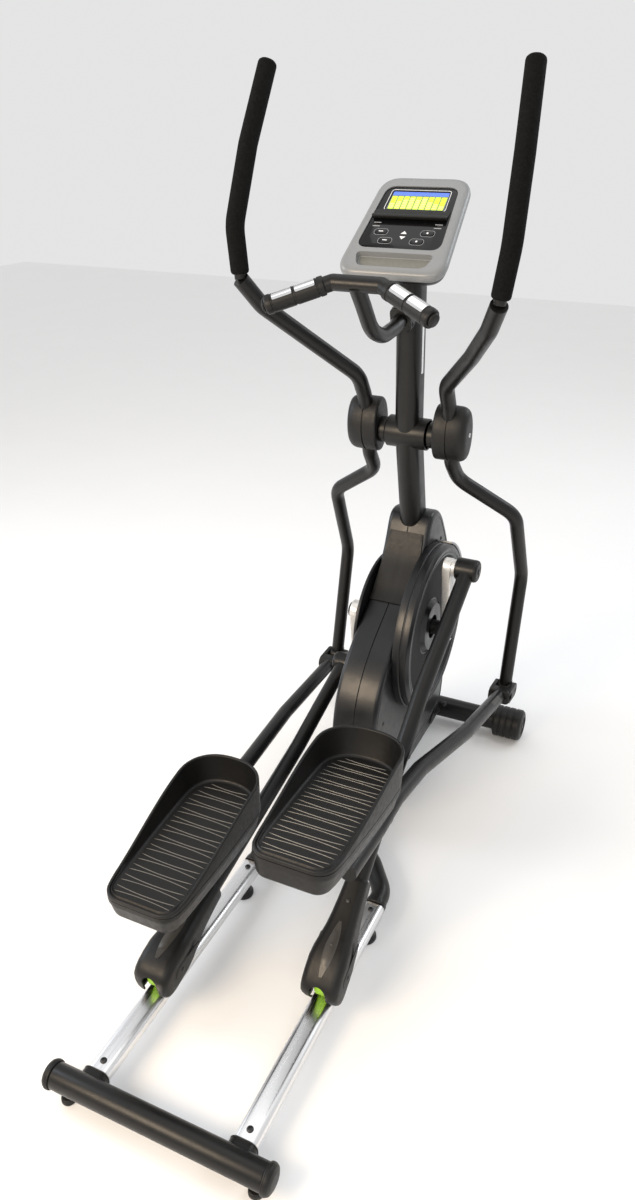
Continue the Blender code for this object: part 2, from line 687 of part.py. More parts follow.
def build_side(name, s):
    mirror = s < 0
    # swing arm: two tubes, hub sleeve and lower sleeve, bored for their pins
    upper, lower = swing_tubes(s)
    p, e, up, q = pedal_frame(s)
    sleeve = rod(0.0500, 0.1260, HUB, 0.0235, 18, 0.001)
    collar = rod(0.0500, 0.0664, HUB, 0.0300, 20, 0.002)
    foot = rod(0.2290, 0.2630, tuple(p), 0.0205, 18, 0.001)
    bore = rod(0.040, 0.150, HUB, 0.0144, 24, 0.0)
    foot_bore = rod(0.200, 0.300, tuple(p), PIN_R + RUN_GAP, 22, 0.0)
    core = swing_path(s, UPPER)
    spine = rounded_path(core[5:], 0.10, 3)
    spigot = sweep(spine, ellipse(0.0120, 0.0120, 8), ease=0.002)
    arm = combine(upper, [("UNION", lower), ("UNION", sleeve), ("UNION", collar), ("UNION", foot),
                          ("UNION", spigot), ("DIFFERENCE", bore), ("DIFFERENCE", foot_bore)])
    piece("swing_arm_" + name, arm, "frame_paint", (s * 0.100, *HUB), mirror)

    # foam grip slipped over the upper tube
    path = [spine[0].lerp(spine[1], 0.12)] + spine[1:]
    direction = (Vector(core[-1]) - Vector(core[-2])).normalized()
    tip = Vector(core[-1])
    outer = sweep(path + [tip + direction * 0.014], ellipse(FOAM_R, FOAM_R, 14), ease=0.007)
    lead = path[0] - (path[1] - path[0]).normalized() * 0.01
    inner = sweep([lead] + path[:-1] + [tip + direction * 0.0008], ellipse(0.0130, 0.0130, 8))
    foam = combine(outer, [("DIFFERENCE", inner)])
    piece("foam_grip_" + name, foam, "foam", (s * 0.100, *HUB), mirror)

    # hub cover: oval shell around the sleeve
    oval = [(HUB[0] + u - 0.002, HUB[1] + v + 0.012) for u, v in ellipse(0.043, 0.064, 16)]
    levels = [(0.0670, 0.006), (0.0710, 0.000), (0.0990, 0.000), (0.1010, 0.003), (0.1030, 0.000),
              (0.1310, 0.002), (0.1400, 0.009), (0.1440, 0.020)]
    shell = loft([[(x, y, z) for y, z in inset(oval, d)] for x, d in levels])
    fat_upper, fat_lower = swing_tubes(s, 0.0006)
    room = rod(0.050, 0.1275, HUB, 0.0241, 18, 0.0)
    cover = combine(shell, [("DIFFERENCE", room), ("DIFFERENCE", fat_upper), ("DIFFERENCE", fat_lower)])
    piece("hub_cover_" + name, cover, "black_plastic", (s * 0.100, *HUB), mirror)

    # pedal arm: clevis at the swing arm, bent tube, lug and pin for the link
    ears = []
    for x0, x1 in ((0.2170, 0.2284), (0.2636, 0.2750)):
        rear = p + e * 0.050
        ears.append(plate(hull_outline([(*p, 0.0195), (*rear, 0.0185)], 14), x0, x1, 0.001))
    yoke = sweep([on_bar(s, 0.036, 0, 0.246), on_bar(s, 0.068, 0, 0.246)], rounded(0.0580, 0.0370, 0.010, 3))
    pin = rod(0.2200, 0.2720, tuple(p), PIN_R, 22, 0.0)
    bar = tube([on_bar(s, 0.055, 0.0, 0.246), on_bar(s, 0.349, 0.022, 0.236), on_bar(s, 0.605, 0.045, 0.208),
                on_bar(s, 0.748, 0.047, 0.203), on_bar(s, 0.850, 0.030, 0.203), on_bar(s, 0.985, 0.022, 0.203)],
               0.0180, 0.10)
    above = Vector(on_bar(s, 0.748, 0.040, 0.2)[1:])
    lug = plate(hull_outline([(*q, 0.0180), (*above, 0.0240)], 16), 0.1870, 0.1990, 0.001)
    lug_pin = rod(0.1440, 0.1900, tuple(q), PIN_R, 22, 0.0)
    seats = [seat_block(s, 0.775, 0.805, 0.030), seat_block(s, 0.930, 0.960, 0.020)]
    whole = combine(bar, [("UNION", t) for t in ears + [yoke, pin, lug, lug_pin] + seats])
    piece("pedal_arm_" + name, whole, "frame_paint", (s * 0.246, *p), mirror)

    piece("pedal_" + name, pedal_solid(s), "black_plastic", (s * PEDAL_X, *p), mirror)

    # roller link: boss at the crank end, tube, bracket for the pedal arm and a yoke for the roller
    crank = crank_pin(s)
    w, u, n = link_frame(s)
    boss = rod(0.1437, 0.1985, crank, 0.0270, 20, 0.0035)
    link_tube = tube([on_link(s, LINK_LEN - 0.004, 0, 0.171), on_link(s, LINK_LEN - 0.16, 0.0, 0.164),
                      on_link(s, LINK_LEN - 0.32, 0.0, RAIL_X + 0.001), on_link(s, 0.062, 0, RAIL_X)],
                     LINK_R, 0.3, 10, 2)
    q_pt = Vector(q)
    foot_a = w + u * (Q_S - 0.050)
    foot_b = w + u * (Q_S + 0.030)
    bracket = plate(hull_outline([(*q_pt, 0.0180), (*foot_a, 0.010), (*foot_b, 0.010)], 16),
                    0.1490, 0.1650, 0.001)
    fork = []
    for x0, x1 in ((RAIL_X - 0.0225, RAIL_X - 0.0170), (RAIL_X + 0.0170, RAIL_X + 0.0225)):
        fork.append(plate(hull_outline([(*w, 0.0130), (*(w + u * 0.062), 0.0150)], 14), x0, x1, 0.0006))
    head = plate(hull_outline([(*(w + u * 0.0565), 0.0143), (*(w + u * 0.080), 0.0137)], 14),
                 RAIL_X - 0.0212, RAIL_X + 0.0212, 0.001)
    axle = rod(RAIL_X - 0.0200, RAIL_X + 0.0200, tuple(w), 0.0060, 20, 0.0)
    q_bore = rod(0.12, 0.20, tuple(q_pt), PIN_R + RUN_GAP, 22, 0.0)
    link = combine(link_tube, [("UNION", t) for t in [boss, bracket] + fork + [head, axle]]
                   + [("DIFFERENCE", q_bore)])
    piece("roller_link_" + name, link, "frame_paint", (s * RAIL_X, *q), mirror)

    roller = turned([(RAIL_X - 0.0150, 0.0061), (RAIL_X - 0.0150, 0.013), (RAIL_X - 0.0130, 0.015),
                     (RAIL_X - 0.0130, WHEEL_R - 0.003), (RAIL_X - 0.0110, WHEEL_R), (RAIL_X + 0.0110, WHEEL_R),
                     (RAIL_X + 0.0130, WHEEL_R - 0.003), (RAIL_X + 0.0130, 0.015), (RAIL_X + 0.0150, 0.013),
                     (RAIL_X + 0.0150, 0.0061)], tuple(w), 24)
    piece("roller_" + name, roller, "roller", (s * RAIL_X, *w), mirror)

    piece("carriage_cover_" + name, carriage_cover(s), "black_plastic", (s * RAIL_X, *w), mirror)


def pedal_underside(a):
    return 0.053 + 0.017 * (PEDAL_REAR - a) / (PEDAL_REAR - PEDAL_FRONT)


def seat_block(s, a0, a1, low):
    """Saddle block between the pedal arm and the pedal."""
    corners = ((a0, low), (a1, low), (a1, pedal_underside(a1) - 0.0005), (a0, pedal_underside(a0) - 0.0005))
    return loft([[on_bar(s, a, h, x) for a, h in corners] for x in (0.150, 0.212)])


def pedal_solid(s):
    length = PEDAL_REAR - PEDAL_FRONT
    nose = 0.085
    half = []
    for i in range(6):
        half.append((PEDAL_W - 0.010 * (1 - i / 5) ** 2, 0.010 + (length - nose - 0.010) * i / 5))
    for i in range(1, 9):
        t = math.pi / 2 * i / 8
        half.append((PEDAL_W * math.cos(t) ** 0.86, length - nose + nose * math.sin(t) ** 0.86))
    corner = [(PEDAL_W - 0.014, 0.003), (PEDAL_W - 0.024, 0.0)]
    right = corner[::-1] + half
    left = [(-x, y) for x, y in right[::-1][1:]]
    outline = right + left

    def place(points, height):
        loop = []
        for x, t in points:
            f = t / length
            loop.append(on_bar(s, PEDAL_REAR - t, height(f), PEDAL_X + x))
        return loop

    def floor(f):
        return 0.1060 + 0.020 * f

    def rim(f):
        k = min(1.0, max(0.0, (f - 0.02) / 0.85))
        return floor(f) + 0.0045 + 0.060 * (k * k * (3 - 2 * k))

    slim = inset(outline, 0.0015)
    slimmer = inset(outline, 0.0060)
    wall = inset(outline, 0.0085)
    pan = inset(outline, 0.0150)
    def under(f):
        return pedal_underside(PEDAL_REAR - f * length)

    loops = [place(inset(outline, 0.010), under), place(slimmer, lambda f: under(f) + 0.002),
             place(outline, lambda f: floor(f) - 0.004), place(outline, lambda f: rim(f) - 0.003),
             place(slim, rim), place(slimmer, rim), place(wall, lambda f: rim(f) - 0.003),
             place(inset(outline, 0.0110), lambda f: floor(f) + 0.004), place(pan, floor)]
    return loft(loops)


def carriage_cover(s):
    """Moulded guard over the roller: open below, straddling the rail."""
    sections = [(-0.044, 0.034, -0.026, 0.016), (-0.038, 0.040, -0.030, 0.030), (-0.015, 0.041, -0.036, 0.043),
                (0.030, 0.041, -0.036, 0.047), (0.070, 0.036, -0.034, 0.040), (0.120, 0.029, -0.029, 0.031),
                (0.190, 0.0245, -0.0245, 0.0250), (0.200, 0.0230, -0.0230, 0.0235)]

    def ring(a, w, low, high, grow):
        mid = (low + high) / 2
        shape = rounded(2 * (w + grow), high - low + 2 * grow, min(0.018, w * 0.6) + grow, 2)
        return [on_link(s, a, mid + v, RAIL_X + uu) for uu, v in shape]

    outer = loft([ring(a, w, low, high, 0.0) for a, w, low, high in sections])
    inner = []
    for a, w, low, high in sections[1:]:
        side = max(w - 0.0035 if a > 0.1 else w - 0.0095, 0.0192)
        inner.append(ring(a, side, min(low + 0.0035, -0.0192), max(high - 0.0035, 0.0192), 0.0))
    inner[0] = ring(-0.0400, 0.0300, -0.0265, 0.0220, 0.0)
    inner.append(ring(0.230, 0.0192, -0.0192, 0.0192, 0.0))
    wy, wz = wheel_yz(s)
    slot = plate([(wy - 0.12, 0.0), (wy + 0.16, 0.0), (wy + 0.16, 0.0660), (wy - 0.12, 0.0660)],
                 RAIL_X - 0.0285, RAIL_X + 0.0285)
    floor = plate([(wy - 0.2, -0.1), (wy + 0.2, -0.1), (wy + 0.2, 0.0440), (wy - 0.2, 0.0440)],
                  RAIL_X - 0.08, RAIL_X + 0.08)
    room = rod(RAIL_X - 0.0245, RAIL_X + 0.0245, (wy, wz), WHEEL_R + 0.0035, 20, 0.0)
    return combine(outer, [("DIFFERENCE", cutter) for cutter in (loft(inner), slot, floor, room)])


def centre_footprint():
    """Shift everything so the origin is the middle of the footprint."""
    low = min((obj.matrix_world @ v.co).y for obj in bpy.data.objects for v in obj.data.vertices)
    high = max((obj.matrix_world @ v.co).y for obj in bpy.data.objects for v in obj.data.vertices)
    shift = (low + high) / 2
    for obj in bpy.data.objects:
        obj.location.y -= shift
    return shift


def main():
    clear_scene()
    build_floor_frame()
    build_mast_and_shroud()
    build_console()
    build_handlebar()
    build_drive()
    for name, sign in SIDES:
        build_side(name, sign)
    bpy.context.view_layer.update()
    print("footprint shift", round(centre_footprint(), 5))


main()
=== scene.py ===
"""Elliptical trainer for home use: the finished look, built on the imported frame.

Every piece is modelled in metres, +Z up, with y counted from the rear stabiliser's axis, and is moved by
FOOTPRINT when it is placed, so that it lands on the frame's own solids.
"""

import math
import bmesh
import bpy
from mathutils import Matrix, Vector


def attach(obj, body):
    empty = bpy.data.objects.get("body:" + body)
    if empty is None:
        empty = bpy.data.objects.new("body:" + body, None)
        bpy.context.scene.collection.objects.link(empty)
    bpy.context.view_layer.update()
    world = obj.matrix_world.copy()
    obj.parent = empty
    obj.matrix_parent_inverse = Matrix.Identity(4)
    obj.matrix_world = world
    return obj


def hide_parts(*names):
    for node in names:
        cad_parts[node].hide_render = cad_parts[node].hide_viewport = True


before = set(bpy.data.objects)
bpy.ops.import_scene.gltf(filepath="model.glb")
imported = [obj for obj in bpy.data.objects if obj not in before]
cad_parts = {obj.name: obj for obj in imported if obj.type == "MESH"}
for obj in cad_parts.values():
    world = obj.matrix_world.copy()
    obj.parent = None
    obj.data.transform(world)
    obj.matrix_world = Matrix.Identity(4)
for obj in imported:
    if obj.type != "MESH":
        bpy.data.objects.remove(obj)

bl_info = {
    "name": "Elliptical Trainer",
    "version": (1, 0, 0),
    "blender": (4, 5, 0),
    "location": "View3D > Sidebar > Trainer",
    "description": "Builds a rear-rail elliptical trainer piece by piece",
    "category": "Add Mesh",
}

FOOTPRINT = 0.729
HUB = (1.165, 0.97)
AXLE = (1.162, 0.476)
SIDES = (("left", -1.0), ("right", 1.0))
LINK_LEN = 0.9523
RAIL_X = 0.156
WHEEL_R = 0.0345
WHEEL_Z = 0.0948
PIVOT_R = 0.7561
PEDAL_X = 0.1445
PEDAL_W = 0.09
PEDAL_REAR = 1.122
PEDAL_FRONT = 0.7486
FRONT_AXIS = (1.44, 0.046)
REAR_AXIS = (0.0, 0.0565)
CRANK_R = 0.189
CRANK_ANGLE = math.radians(-7.63)
LEAN = math.radians(0.96)       # how far the swing arms stand from upright at rest
LUG_ALONG, LUG_UP = 0.3336, 0.0646      # the pedal bar's lug on the link, from the roller's axis
PIVOT_ANGLE = 11.9              # where the pedal bar's pin stands on the swing arm, in degrees


# ---------------------------------------------------------------- settings
def length(name, description, default):
    return bpy.props.FloatProperty(name=name, description=description, default=default, subtype="DISTANCE",
                                   unit="LENGTH", precision=4)


def tone(name, description, default):
    return bpy.props.FloatVectorProperty(name=name, description=description, default=default, subtype="COLOR",
                                         size=3, min=0.0, max=1.0)


class TrainerSizes(bpy.types.PropertyGroup):
    """Sizes a user may change."""

    tube_sides: bpy.props.IntProperty(
        name="Tube Sides", description="Facets round each tube", default=36, min=12, max=96)
    turned_sides: bpy.props.IntProperty(
        name="Turned Sides", description="Facets round discs, wheels and caps", default=72, min=24, max=160)
    arm_radius: length("Arm Tube Radius", "Radius of the swing arm tubes", 0.0172)
    foam_radius: length("Foam Radius", "Radius of the foam grips", 0.0188)
    bar_radius: length("Pedal Bar Radius", "Radius of the bars under the pedals", 0.018)
    link_radius: length("Link Radius", "Radius of the roller links", 0.0185)
    tread_ribs: bpy.props.IntProperty(
        name="Tread Ribs", description="Raised ribs across each foot plate", default=24, min=4, max=60)


class TrainerColours(bpy.types.PropertyGroup):
    """Colours a user may change."""

    paint: tone("Frame Paint", "Colour of the painted tubes", (0.0042, 0.004, 0.0038))
    plastic: tone("Moulded Plastic", "Colour of covers and foot plates", (0.0046, 0.0043, 0.004))
    shroud: tone("Shroud", "Colour of the two big covers", (0.0042, 0.0047, 0.0058))
    silver: tone("Silver Plastic", "Colour of the console rim and side trims", (0.2, 0.208, 0.214))
    roller: tone("Rollers", "Colour of the rail rollers", (0.28, 0.56, 0.012))


def sizes():
    """The sizes as the panel has them."""
    return bpy.context.scene.trainer_sizes


def colours():
    """The colours as the panel has them."""
    return bpy.context.scene.trainer_colours


# ---------------------------------------------------------------- finishes
class Shader:
    """A Principled material under construction."""

    def __init__(self, name, color, rough, metal=0.0, **sockets):
        self.mat = bpy.data.materials.new("finish_" + name)
        self.mat.use_nodes = True
        self.mat.diffuse_color = (*color, 1.0)
        self.tree = self.mat.node_tree
        self.bsdf = self.tree.nodes["Principled BSDF"]
        self.bsdf.inputs["Base Color"].default_value = (*color, 1.0)
        self.bsdf.inputs["Roughness"].default_value = rough
        self.bsdf.inputs["Metallic"].default_value = metal
        for key, value in sockets.items():
            self.bsdf.inputs[key.replace("_", " ")].default_value = value
        self.where = self.tree.nodes.new("ShaderNodeTexCoord").outputs["Object"]
        self.height = None

    def link(self, a, b):
        self.tree.links.new(a, b)

    def node(self, kind, **values):
        """A node with its inputs set; an underscore in a name stands for a space."""
        node = self.tree.nodes.new("ShaderNode" + kind)
        for key, value in values.items():
            node.inputs[key.replace("_", " ")].default_value = value
        return node

    def noise(self, scale, detail, stretch=(1, 1, 1)):
        mapping = self.node("Mapping", Scale=stretch)
        node = self.node("TexNoise", Scale=scale, Detail=detail, Roughness=0.55)
        self.link(self.where, mapping.inputs["Vector"])
        self.link(mapping.outputs["Vector"], node.inputs["Vector"])
        return node.outputs["Fac"]

    def cells(self, scale):
        node = self.node("TexVoronoi", Scale=scale)
        self.link(self.where, node.inputs["Vector"])
        return node.outputs["Distance"]

    def color_from(self, fac, dark, light):
        node = self.node("ValToRGB")
        for element, place, color in zip(node.color_ramp.elements, (0.3, 0.7), (dark, light)):
            element.position = place
            element.color = (*color, 1.0)
        self.link(fac, node.inputs["Fac"])
        self.link(node.outputs["Color"], self.bsdf.inputs["Base Color"])

    def rough_from(self, fac, low, high):
        node = self.node("MapRange", From_Min=0.3, From_Max=0.7, To_Min=low, To_Max=high)
        self.link(fac, node.inputs["Value"])
        self.link(node.outputs["Result"], self.bsdf.inputs["Roughness"])

    def bump(self, fac, strength, distance):
        node = self.node("Bump", Strength=strength, Distance=distance)
        self.link(fac, node.inputs["Height"])
        if self.height:
            self.link(self.height, node.inputs["Normal"])
        self.height = node.outputs["Normal"]
        self.link(self.height, self.bsdf.inputs["Normal"])


def tint(color, k):
    """The colour made k times as bright."""
    return tuple(min(1.0, c * k) for c in color)


# name: colour, roughness, metallic, other inputs, (noise, darkest, lightest tint),
#       (noise or None for the same, lowest, highest roughness), reliefs (pattern, strength, distance)
FINISHES = {
    "satin_paint": ("paint", 0.36, 0.0, {"Coat_Weight": 0.08, "Coat_Roughness": 0.28, "Specular_IOR_Level": 0.3},
                    ((9.0, 2.0), 0.86, 1.22), ((55.0, 4.0), 0.31, 0.42), [((620.0, 2.0), 0.1, 0.0004)]),
    "moulded_black": ("plastic", 0.44, 0.0, {"Specular_IOR_Level": 0.34},
                      ((22.0, 3.0), 0.85, 1.2), ((90.0, 3.0), 0.38, 0.5), [((1300.0,), 0.22, 0.0004)]),
    "shroud_black": ("shroud", 0.32, 0.0, {"Coat_Weight": 0.1, "Coat_Roughness": 0.22, "Specular_IOR_Level": 0.4},
                     ((5.0, 3.0), 0.88, 1.18), ((38.0, 4.0), 0.3, 0.4), [((900.0,), 0.14, 0.0004)]),
    "silver_plastic": ("silver", 0.36, 0.0, {"Coat_Weight": 0.3, "Coat_Roughness": 0.2},
                       ((700.0, 2.0), 0.93, 1.05), ((60.0, 3.0), 0.31, 0.42), [((900.0, 2.0), 0.06, 0.0003)]),
    "satin_aluminium": ((0.84, 0.84, 0.85), 0.28, 1.0, {},
                        ((160.0, 4.0, (1.0, 0.02, 1.0)), 0.9, 1.05), (None, 0.22, 0.36), [(None, 0.05, 0.0003)]),
    "silver_paint": ((0.7, 0.69, 0.67), 0.3, 0.55, {"Coat_Weight": 0.4, "Coat_Roughness": 0.15},
                     ((18.0, 3.0), 0.94, 1.04), ((800.0, 2.0), 0.25, 0.36), []),
    "foam": ((0.004, 0.0039, 0.0038), 0.86, 0.0, {"Specular_IOR_Level": 0.1},
             ((260.0, 4.0), 0.7, 1.5), ((120.0, 3.0), 0.78, 0.92),
             [((950.0,), 0.5, 0.0006), ((140.0, 4.0), 0.22, 0.001)]),
    "gloss_black": ((0.0035, 0.0038, 0.0045), 0.1, 0.0,
                    {"Coat_Weight": 0.12, "Coat_Roughness": 0.04, "Specular_IOR_Level": 0.22},
                    ((30.0, 2.0), 0.9, 1.25), ((240.0, 3.0), 0.08, 0.15), []),
    "chrome": ((0.86, 0.86, 0.87), 0.1, 1.0, {}, ((40.0, 2.0), 0.96, 1.03), ((300.0, 3.0), 0.07, 0.16), []),
    "plated_steel": ((0.58, 0.58, 0.59), 0.3, 1.0, {},
                     ((150.0, 3.0), 0.85, 1.12), ((500.0, 3.0), 0.22, 0.4), []),
    "black_bolt": ((0.05, 0.05, 0.052), 0.35, 0.8, {}, ((200.0, 3.0), 0.8, 1.4), ((500.0, 3.0), 0.28, 0.45), []),
    "green_urethane": ("roller", 0.42, 0.0, {"Specular_IOR_Level": 0.5},
                       ((60.0, 3.0), 0.88, 1.1), ((260.0, 3.0), 0.36, 0.52), []),
    "screen_glass": ((0.055, 0.065, 0.075), 0.12, 0.0, {"Coat_Weight": 0.8, "Coat_Roughness": 0.05},
                     ((900.0, 1.0), 0.95, 1.1), (), []),
    # near-black matte sheet for the side disc's recess: painted shade
    "black_gap": ((0.006, 0.006, 0.006), 0.8, 0.0, {}, ((60.0, 2.0), 0.8, 1.3), (), []),
}

# prints and small flat details: colour, roughness; a name that starts with display also glows a little; the tread
# ribs' light grey is a painted highlight on black ribs
FLATS = {"print_white": ((0.8, 0.81, 0.82), 0.45), "print_grey": ((0.3, 0.31, 0.32), 0.45),
         "display_lime": ((0.52, 0.78, 0.02), 0.35), "display_pale": ((0.78, 0.93, 0.22), 0.35),
         "display_blue": ((0.07, 0.15, 0.7), 0.35), "tray_grey": ((0.17, 0.17, 0.15), 0.6),
         "print_soft": ((0.04, 0.037, 0.033), 0.34), "moulded_rib": ((0.13, 0.128, 0.122), 0.34)}
for flat, (color, rough) in FLATS.items():
    FINISHES[flat] = (color, rough, 0.0, {}, ((140.0, 3.0), 0.93, 1.06),
                      ((400.0, 3.0), rough - 0.06, rough + 0.08), [])


def make_finish(name):
    """Material from a row of FINISHES; a relief with no detail value is a cell pattern."""
    color, rough, metal, sockets, (grain, dark, light), sheen, reliefs = FINISHES[name]
    if isinstance(color, str):
        color = getattr(colours(), color)
    s = Shader(name, color, rough, metal, **sockets)
    if name.startswith("display"):
        s.bsdf.inputs["Emission Color"].default_value = (*color, 1.0)
        s.bsdf.inputs["Emission Strength"].default_value = 0.45
    base = s.noise(*grain)
    s.color_from(base, tint(color, dark), tint(color, light))
    if sheen:
        s.rough_from(s.noise(*sheen[0]) if sheen[0] else base, *sheen[1:])
    for pattern, strength, distance in reliefs:
        fac = base if pattern is None else s.cells(*pattern) if len(pattern) == 1 else s.noise(*pattern)
        s.bump(fac, strength, distance)
    return s.mat


def finish_of(name):
    """The named finish, made the first time it is asked for."""
    return bpy.data.materials.get("finish_" + name) or make_finish(name)


# ---------------------------------------------------------------- outlines
def ellipse(a, b, n):
    return [(a * math.cos(math.tau * i / n), b * math.sin(math.tau * i / n)) for i in range(n)]


def circle(r, n):
    return ellipse(r, r, n)


def rounded(w, h, r, steps=8):
    """Rectangle w by h with corners of radius r."""
    points = []
    for k, (cx, cy) in enumerate(((1, 1), (-1, 1), (-1, -1), (1, -1))):
        for i in range(steps + 1):
            t = math.pi / 2 * (k + i / steps)
            points.append((cx * (w / 2 - r) + r * math.cos(t), cy * (h / 2 - r) + r * math.sin(t)))
    return points


def inset(outline, d):
    """Move each edge of a counter-clockwise outline inwards by d."""
    if abs(d) < 1e-9:
        return list(outline)
    n = len(outline)
    result = []
    for i in range(n):
        p0, p1, p2 = (Vector(outline[(i + k) % n]) for k in (-1, 0, 1))
        e0 = (p1 - p0).normalized()
        e1 = (p2 - p1).normalized()
        n0 = Vector((-e0.y, e0.x))
        n1 = Vector((-e1.y, e1.x))
        mid = (n0 + n1).normalized()
        result.append(tuple(p1 + mid * d / max(0.35, mid.dot(n0))))
    return result


def smooth(outline, passes=1):
    """Cut every corner at a quarter of its edges, pass after pass."""
    for _ in range(passes):
        n = len(outline)
        finer = []
        for i in range(n):
            a, b = Vector(outline[i]), Vector(outline[(i + 1) % n])
            finer.append(tuple(a.lerp(b, 0.25)))
            finer.append(tuple(a.lerp(b, 0.75)))
        outline = finer
    return outline


def hull_outline(circles):
    """Outline around several circles (y, z, r), counter-clockwise."""
    points = []
    for cy, cz, r in circles:
        points += [(cy + u, cz + v) for u, v in circle(r, 56)]
    points = sorted(set(points))
    chain = []
    for walk in (points, points[::-1]):
        part = []
        for p in walk:
            while len(part) > 1:
                (ax, ay), (bx, by) = part[-2], part[-1]
                if (bx - ax) * (p[1] - ay) - (by - ay) * (p[0] - ax) > 1e-12:
                    break
                part.pop()
            part.append(p)
        chain += part[:-1]
    return chain


def corner_curve(p0, corner, p1, steps):
    """Points from p0 to p1 on a curve drawn towards the corner."""
    return [p0 * (1 - t) ** 2 + corner * 2 * t * (1 - t) + p1 * t ** 2
            for t in (i / steps for i in range(steps + 1))]


def softened(profile, r):
    """Round the inner corners of an open (x, r) profile."""
    points = [Vector(p) for p in profile]
    result = [points[0]]
    for a, b, c in zip(points[:-2], points[1:-1], points[2:]):
        reach = min(r, 0.45 * (a - b).length, 0.45 * (c - b).length)
        if reach < 1e-5:
            result.append(b)
            continue
        result += corner_curve(b + (a - b).normalized() * reach, b, b + (c - b).normalized() * reach, 3)
    result.append(points[-1])
    return [tuple(p) for p in result]


# ---------------------------------------------------------------- solids
def loft(loops, closed=False):
    """Skin a list of equal-length 3-D loops."""
    bm = bmesh.new()
    rings = [[bm.verts.new(p) for p in loop] for loop in loops]
    count = len(rings[0])
    pairs = list(zip(rings[:-1], rings[1:]))
    if closed:
        pairs.append((rings[-1], rings[0]))
    for low, high in pairs:
        for i in range(count):
            j = (i + 1) % count
            bm.faces.new((low[i], low[j], high[j], high[i]))
    if not closed:
        bm.faces.new(rings[0][::-1])
        bm.faces.new(rings[-1])
    bmesh.ops.recalc_face_normals(bm, faces=bm.faces)
    return bm


def stack(sections, closed=False):
    """Skin (x, outline in (y, z)) sections."""
    return loft([[(x, y, z) for y, z in shape] for x, shape in sections], closed)


def plate(outline, x0, x1, ease=0.001, steps=3):
    """Outline in (y, z) made solid from x0 to x1 with rounded edges."""
    way = math.copysign(1.0, x1 - x0)
    ease = min(ease, 0.49 * abs(x1 - x0))
    levels = []
    for i in range(steps + 1):
        t = math.pi / 2 * i / steps
        levels.append((ease * (1 - math.sin(t)), ease * (1 - math.cos(t))))
    near = [(x0 + way * b, inset(outline, a)) for a, b in levels]
    far = [(x1 - way * b, inset(outline, a)) for a, b in reversed(levels)]
    return stack(near + far)


def skin_rings(bm, rings, n, closed=False):
    """Join rings of n vertices round an axis; a ring of one vertex is a closed tip."""
    pairs = list(zip(rings[:-1], rings[1:]))
    if closed:
        pairs.append((rings[-1], rings[0]))
    for a, b in pairs:
        for i in range(n):
            j = (i + 1) % n
            if len(a) == 1 and len(b) > 1:
                bm.faces.new((a[0], b[i], b[j]))
            elif len(b) == 1 and len(a) > 1:
                bm.faces.new((a[i], b[0], a[j]))
            elif len(a) > 1:
                bm.faces.new((a[i], b[i], b[j], a[j]))
    bmesh.ops.recalc_face_normals(bm, faces=bm.faces)
    return bm


def turned(profile, center, n=None, soft=0.0, closed=False):
    """Turn (x, r) points about the X line through center (y, z)."""
    n = n or sizes().turned_sides
    if soft:
        profile = softened(profile, soft)
    bm = bmesh.new()
    rings = []
    for x, r in profile:
        if r <= 1e-7:
            rings.append([bm.verts.new((x, *center))])
        else:
            rings.append([bm.verts.new((x, center[0] + u, center[1] + v)) for u, v in circle(r, n)])
    return skin_rings(bm, rings, n, closed)


def rod(x0, x1, center, r, ease=0.0012, n=48):
    """Plain round bar along X."""
    return turned([(x0, 0), (x0, r), (x1, r), (x1, 0)], center, n, ease)


def rounded_path(points, radius, steps=10):
    """Replace each inner corner of a 3-D polyline by an arc."""
    points = [Vector(p) for p in points]
    path = [points[0]]
    for a, b, c in zip(points[:-2], points[1:-1], points[2:]):
        u = (a - b).normalized()
        v = (c - b).normalized()
        angle = u.angle(v)
        if angle > math.radians(178):
            path.append(b)
            continue
        reach = min(radius / math.tan(angle / 2), 0.48 * (a - b).length, 0.48 * (c - b).length)
        path += corner_curve(b + u * reach, b, b + v * reach, steps)
    path.append(points[-1])
    return path


def sweep(path, shape, ease=0.0):
    """Sweep an outline (along x, across x) down a path; shape may be a function of the way along."""
    path = [Vector(p) for p in path]
    loops = []
    side = Vector((1, 0, 0))
    for i, p in enumerate(path):
        a = path[max(i - 1, 0)]
        b = path[min(i + 1, len(path) - 1)]
        t = (b - a).normalized()
        side = (side - t * side.dot(t)).normalized()
        up = t.cross(side)
        section = shape(i / (len(path) - 1)) if callable(shape) else shape
        loops.append([p + side * u + up * v for u, v in section])
    if ease > 0:
        for end, neighbour in ((0, 1), (-1, -2)):
            centre = path[end]
            inner = (path[neighbour] - centre).normalized()
            extra = []
            for k in (1, 2, 3):
                t = math.pi / 2 * k / 3
                cut = ease * (1 - math.cos(t))
                extra.append([centre + (q - centre) * (1 - cut / (q - centre).length)
                              + inner * ease * (1 - math.sin(t)) for q in loops[end]])
            loops[end] = [q + inner * ease for q in loops[end]]
            if end == 0:
                loops = extra[::-1] + loops
            else:
                loops = loops + extra
    return loft(loops)


def cut(base, *cutters):
    """Subtract solids with the exact solver and return the result."""
    target = scratch(base)
    helpers = []
    for solid in cutters:
        other = scratch(solid)
        helpers.append(other)
        mod = target.modifiers.new("cut", "BOOLEAN")
        mod.operation = "DIFFERENCE"
        mod.solver = "EXACT"
        mod.object = other
    bm = bmesh.new()
    bm.from_mesh(baked(target))
    for obj in [target] + helpers:
        bpy.data.objects.remove(obj, do_unlink=True)
    bmesh.ops.remove_doubles(bm, verts=bm.verts, dist=2e-6)
    return bm


def scratch(bm, name="work"):
    """A linked object that holds the solid."""
    mesh = bpy.data.meshes.new(name)
    bm.to_mesh(mesh)
    bm.free()
    obj = bpy.data.objects.new(name, mesh)
    bpy.context.scene.collection.objects.link(obj)
    return obj


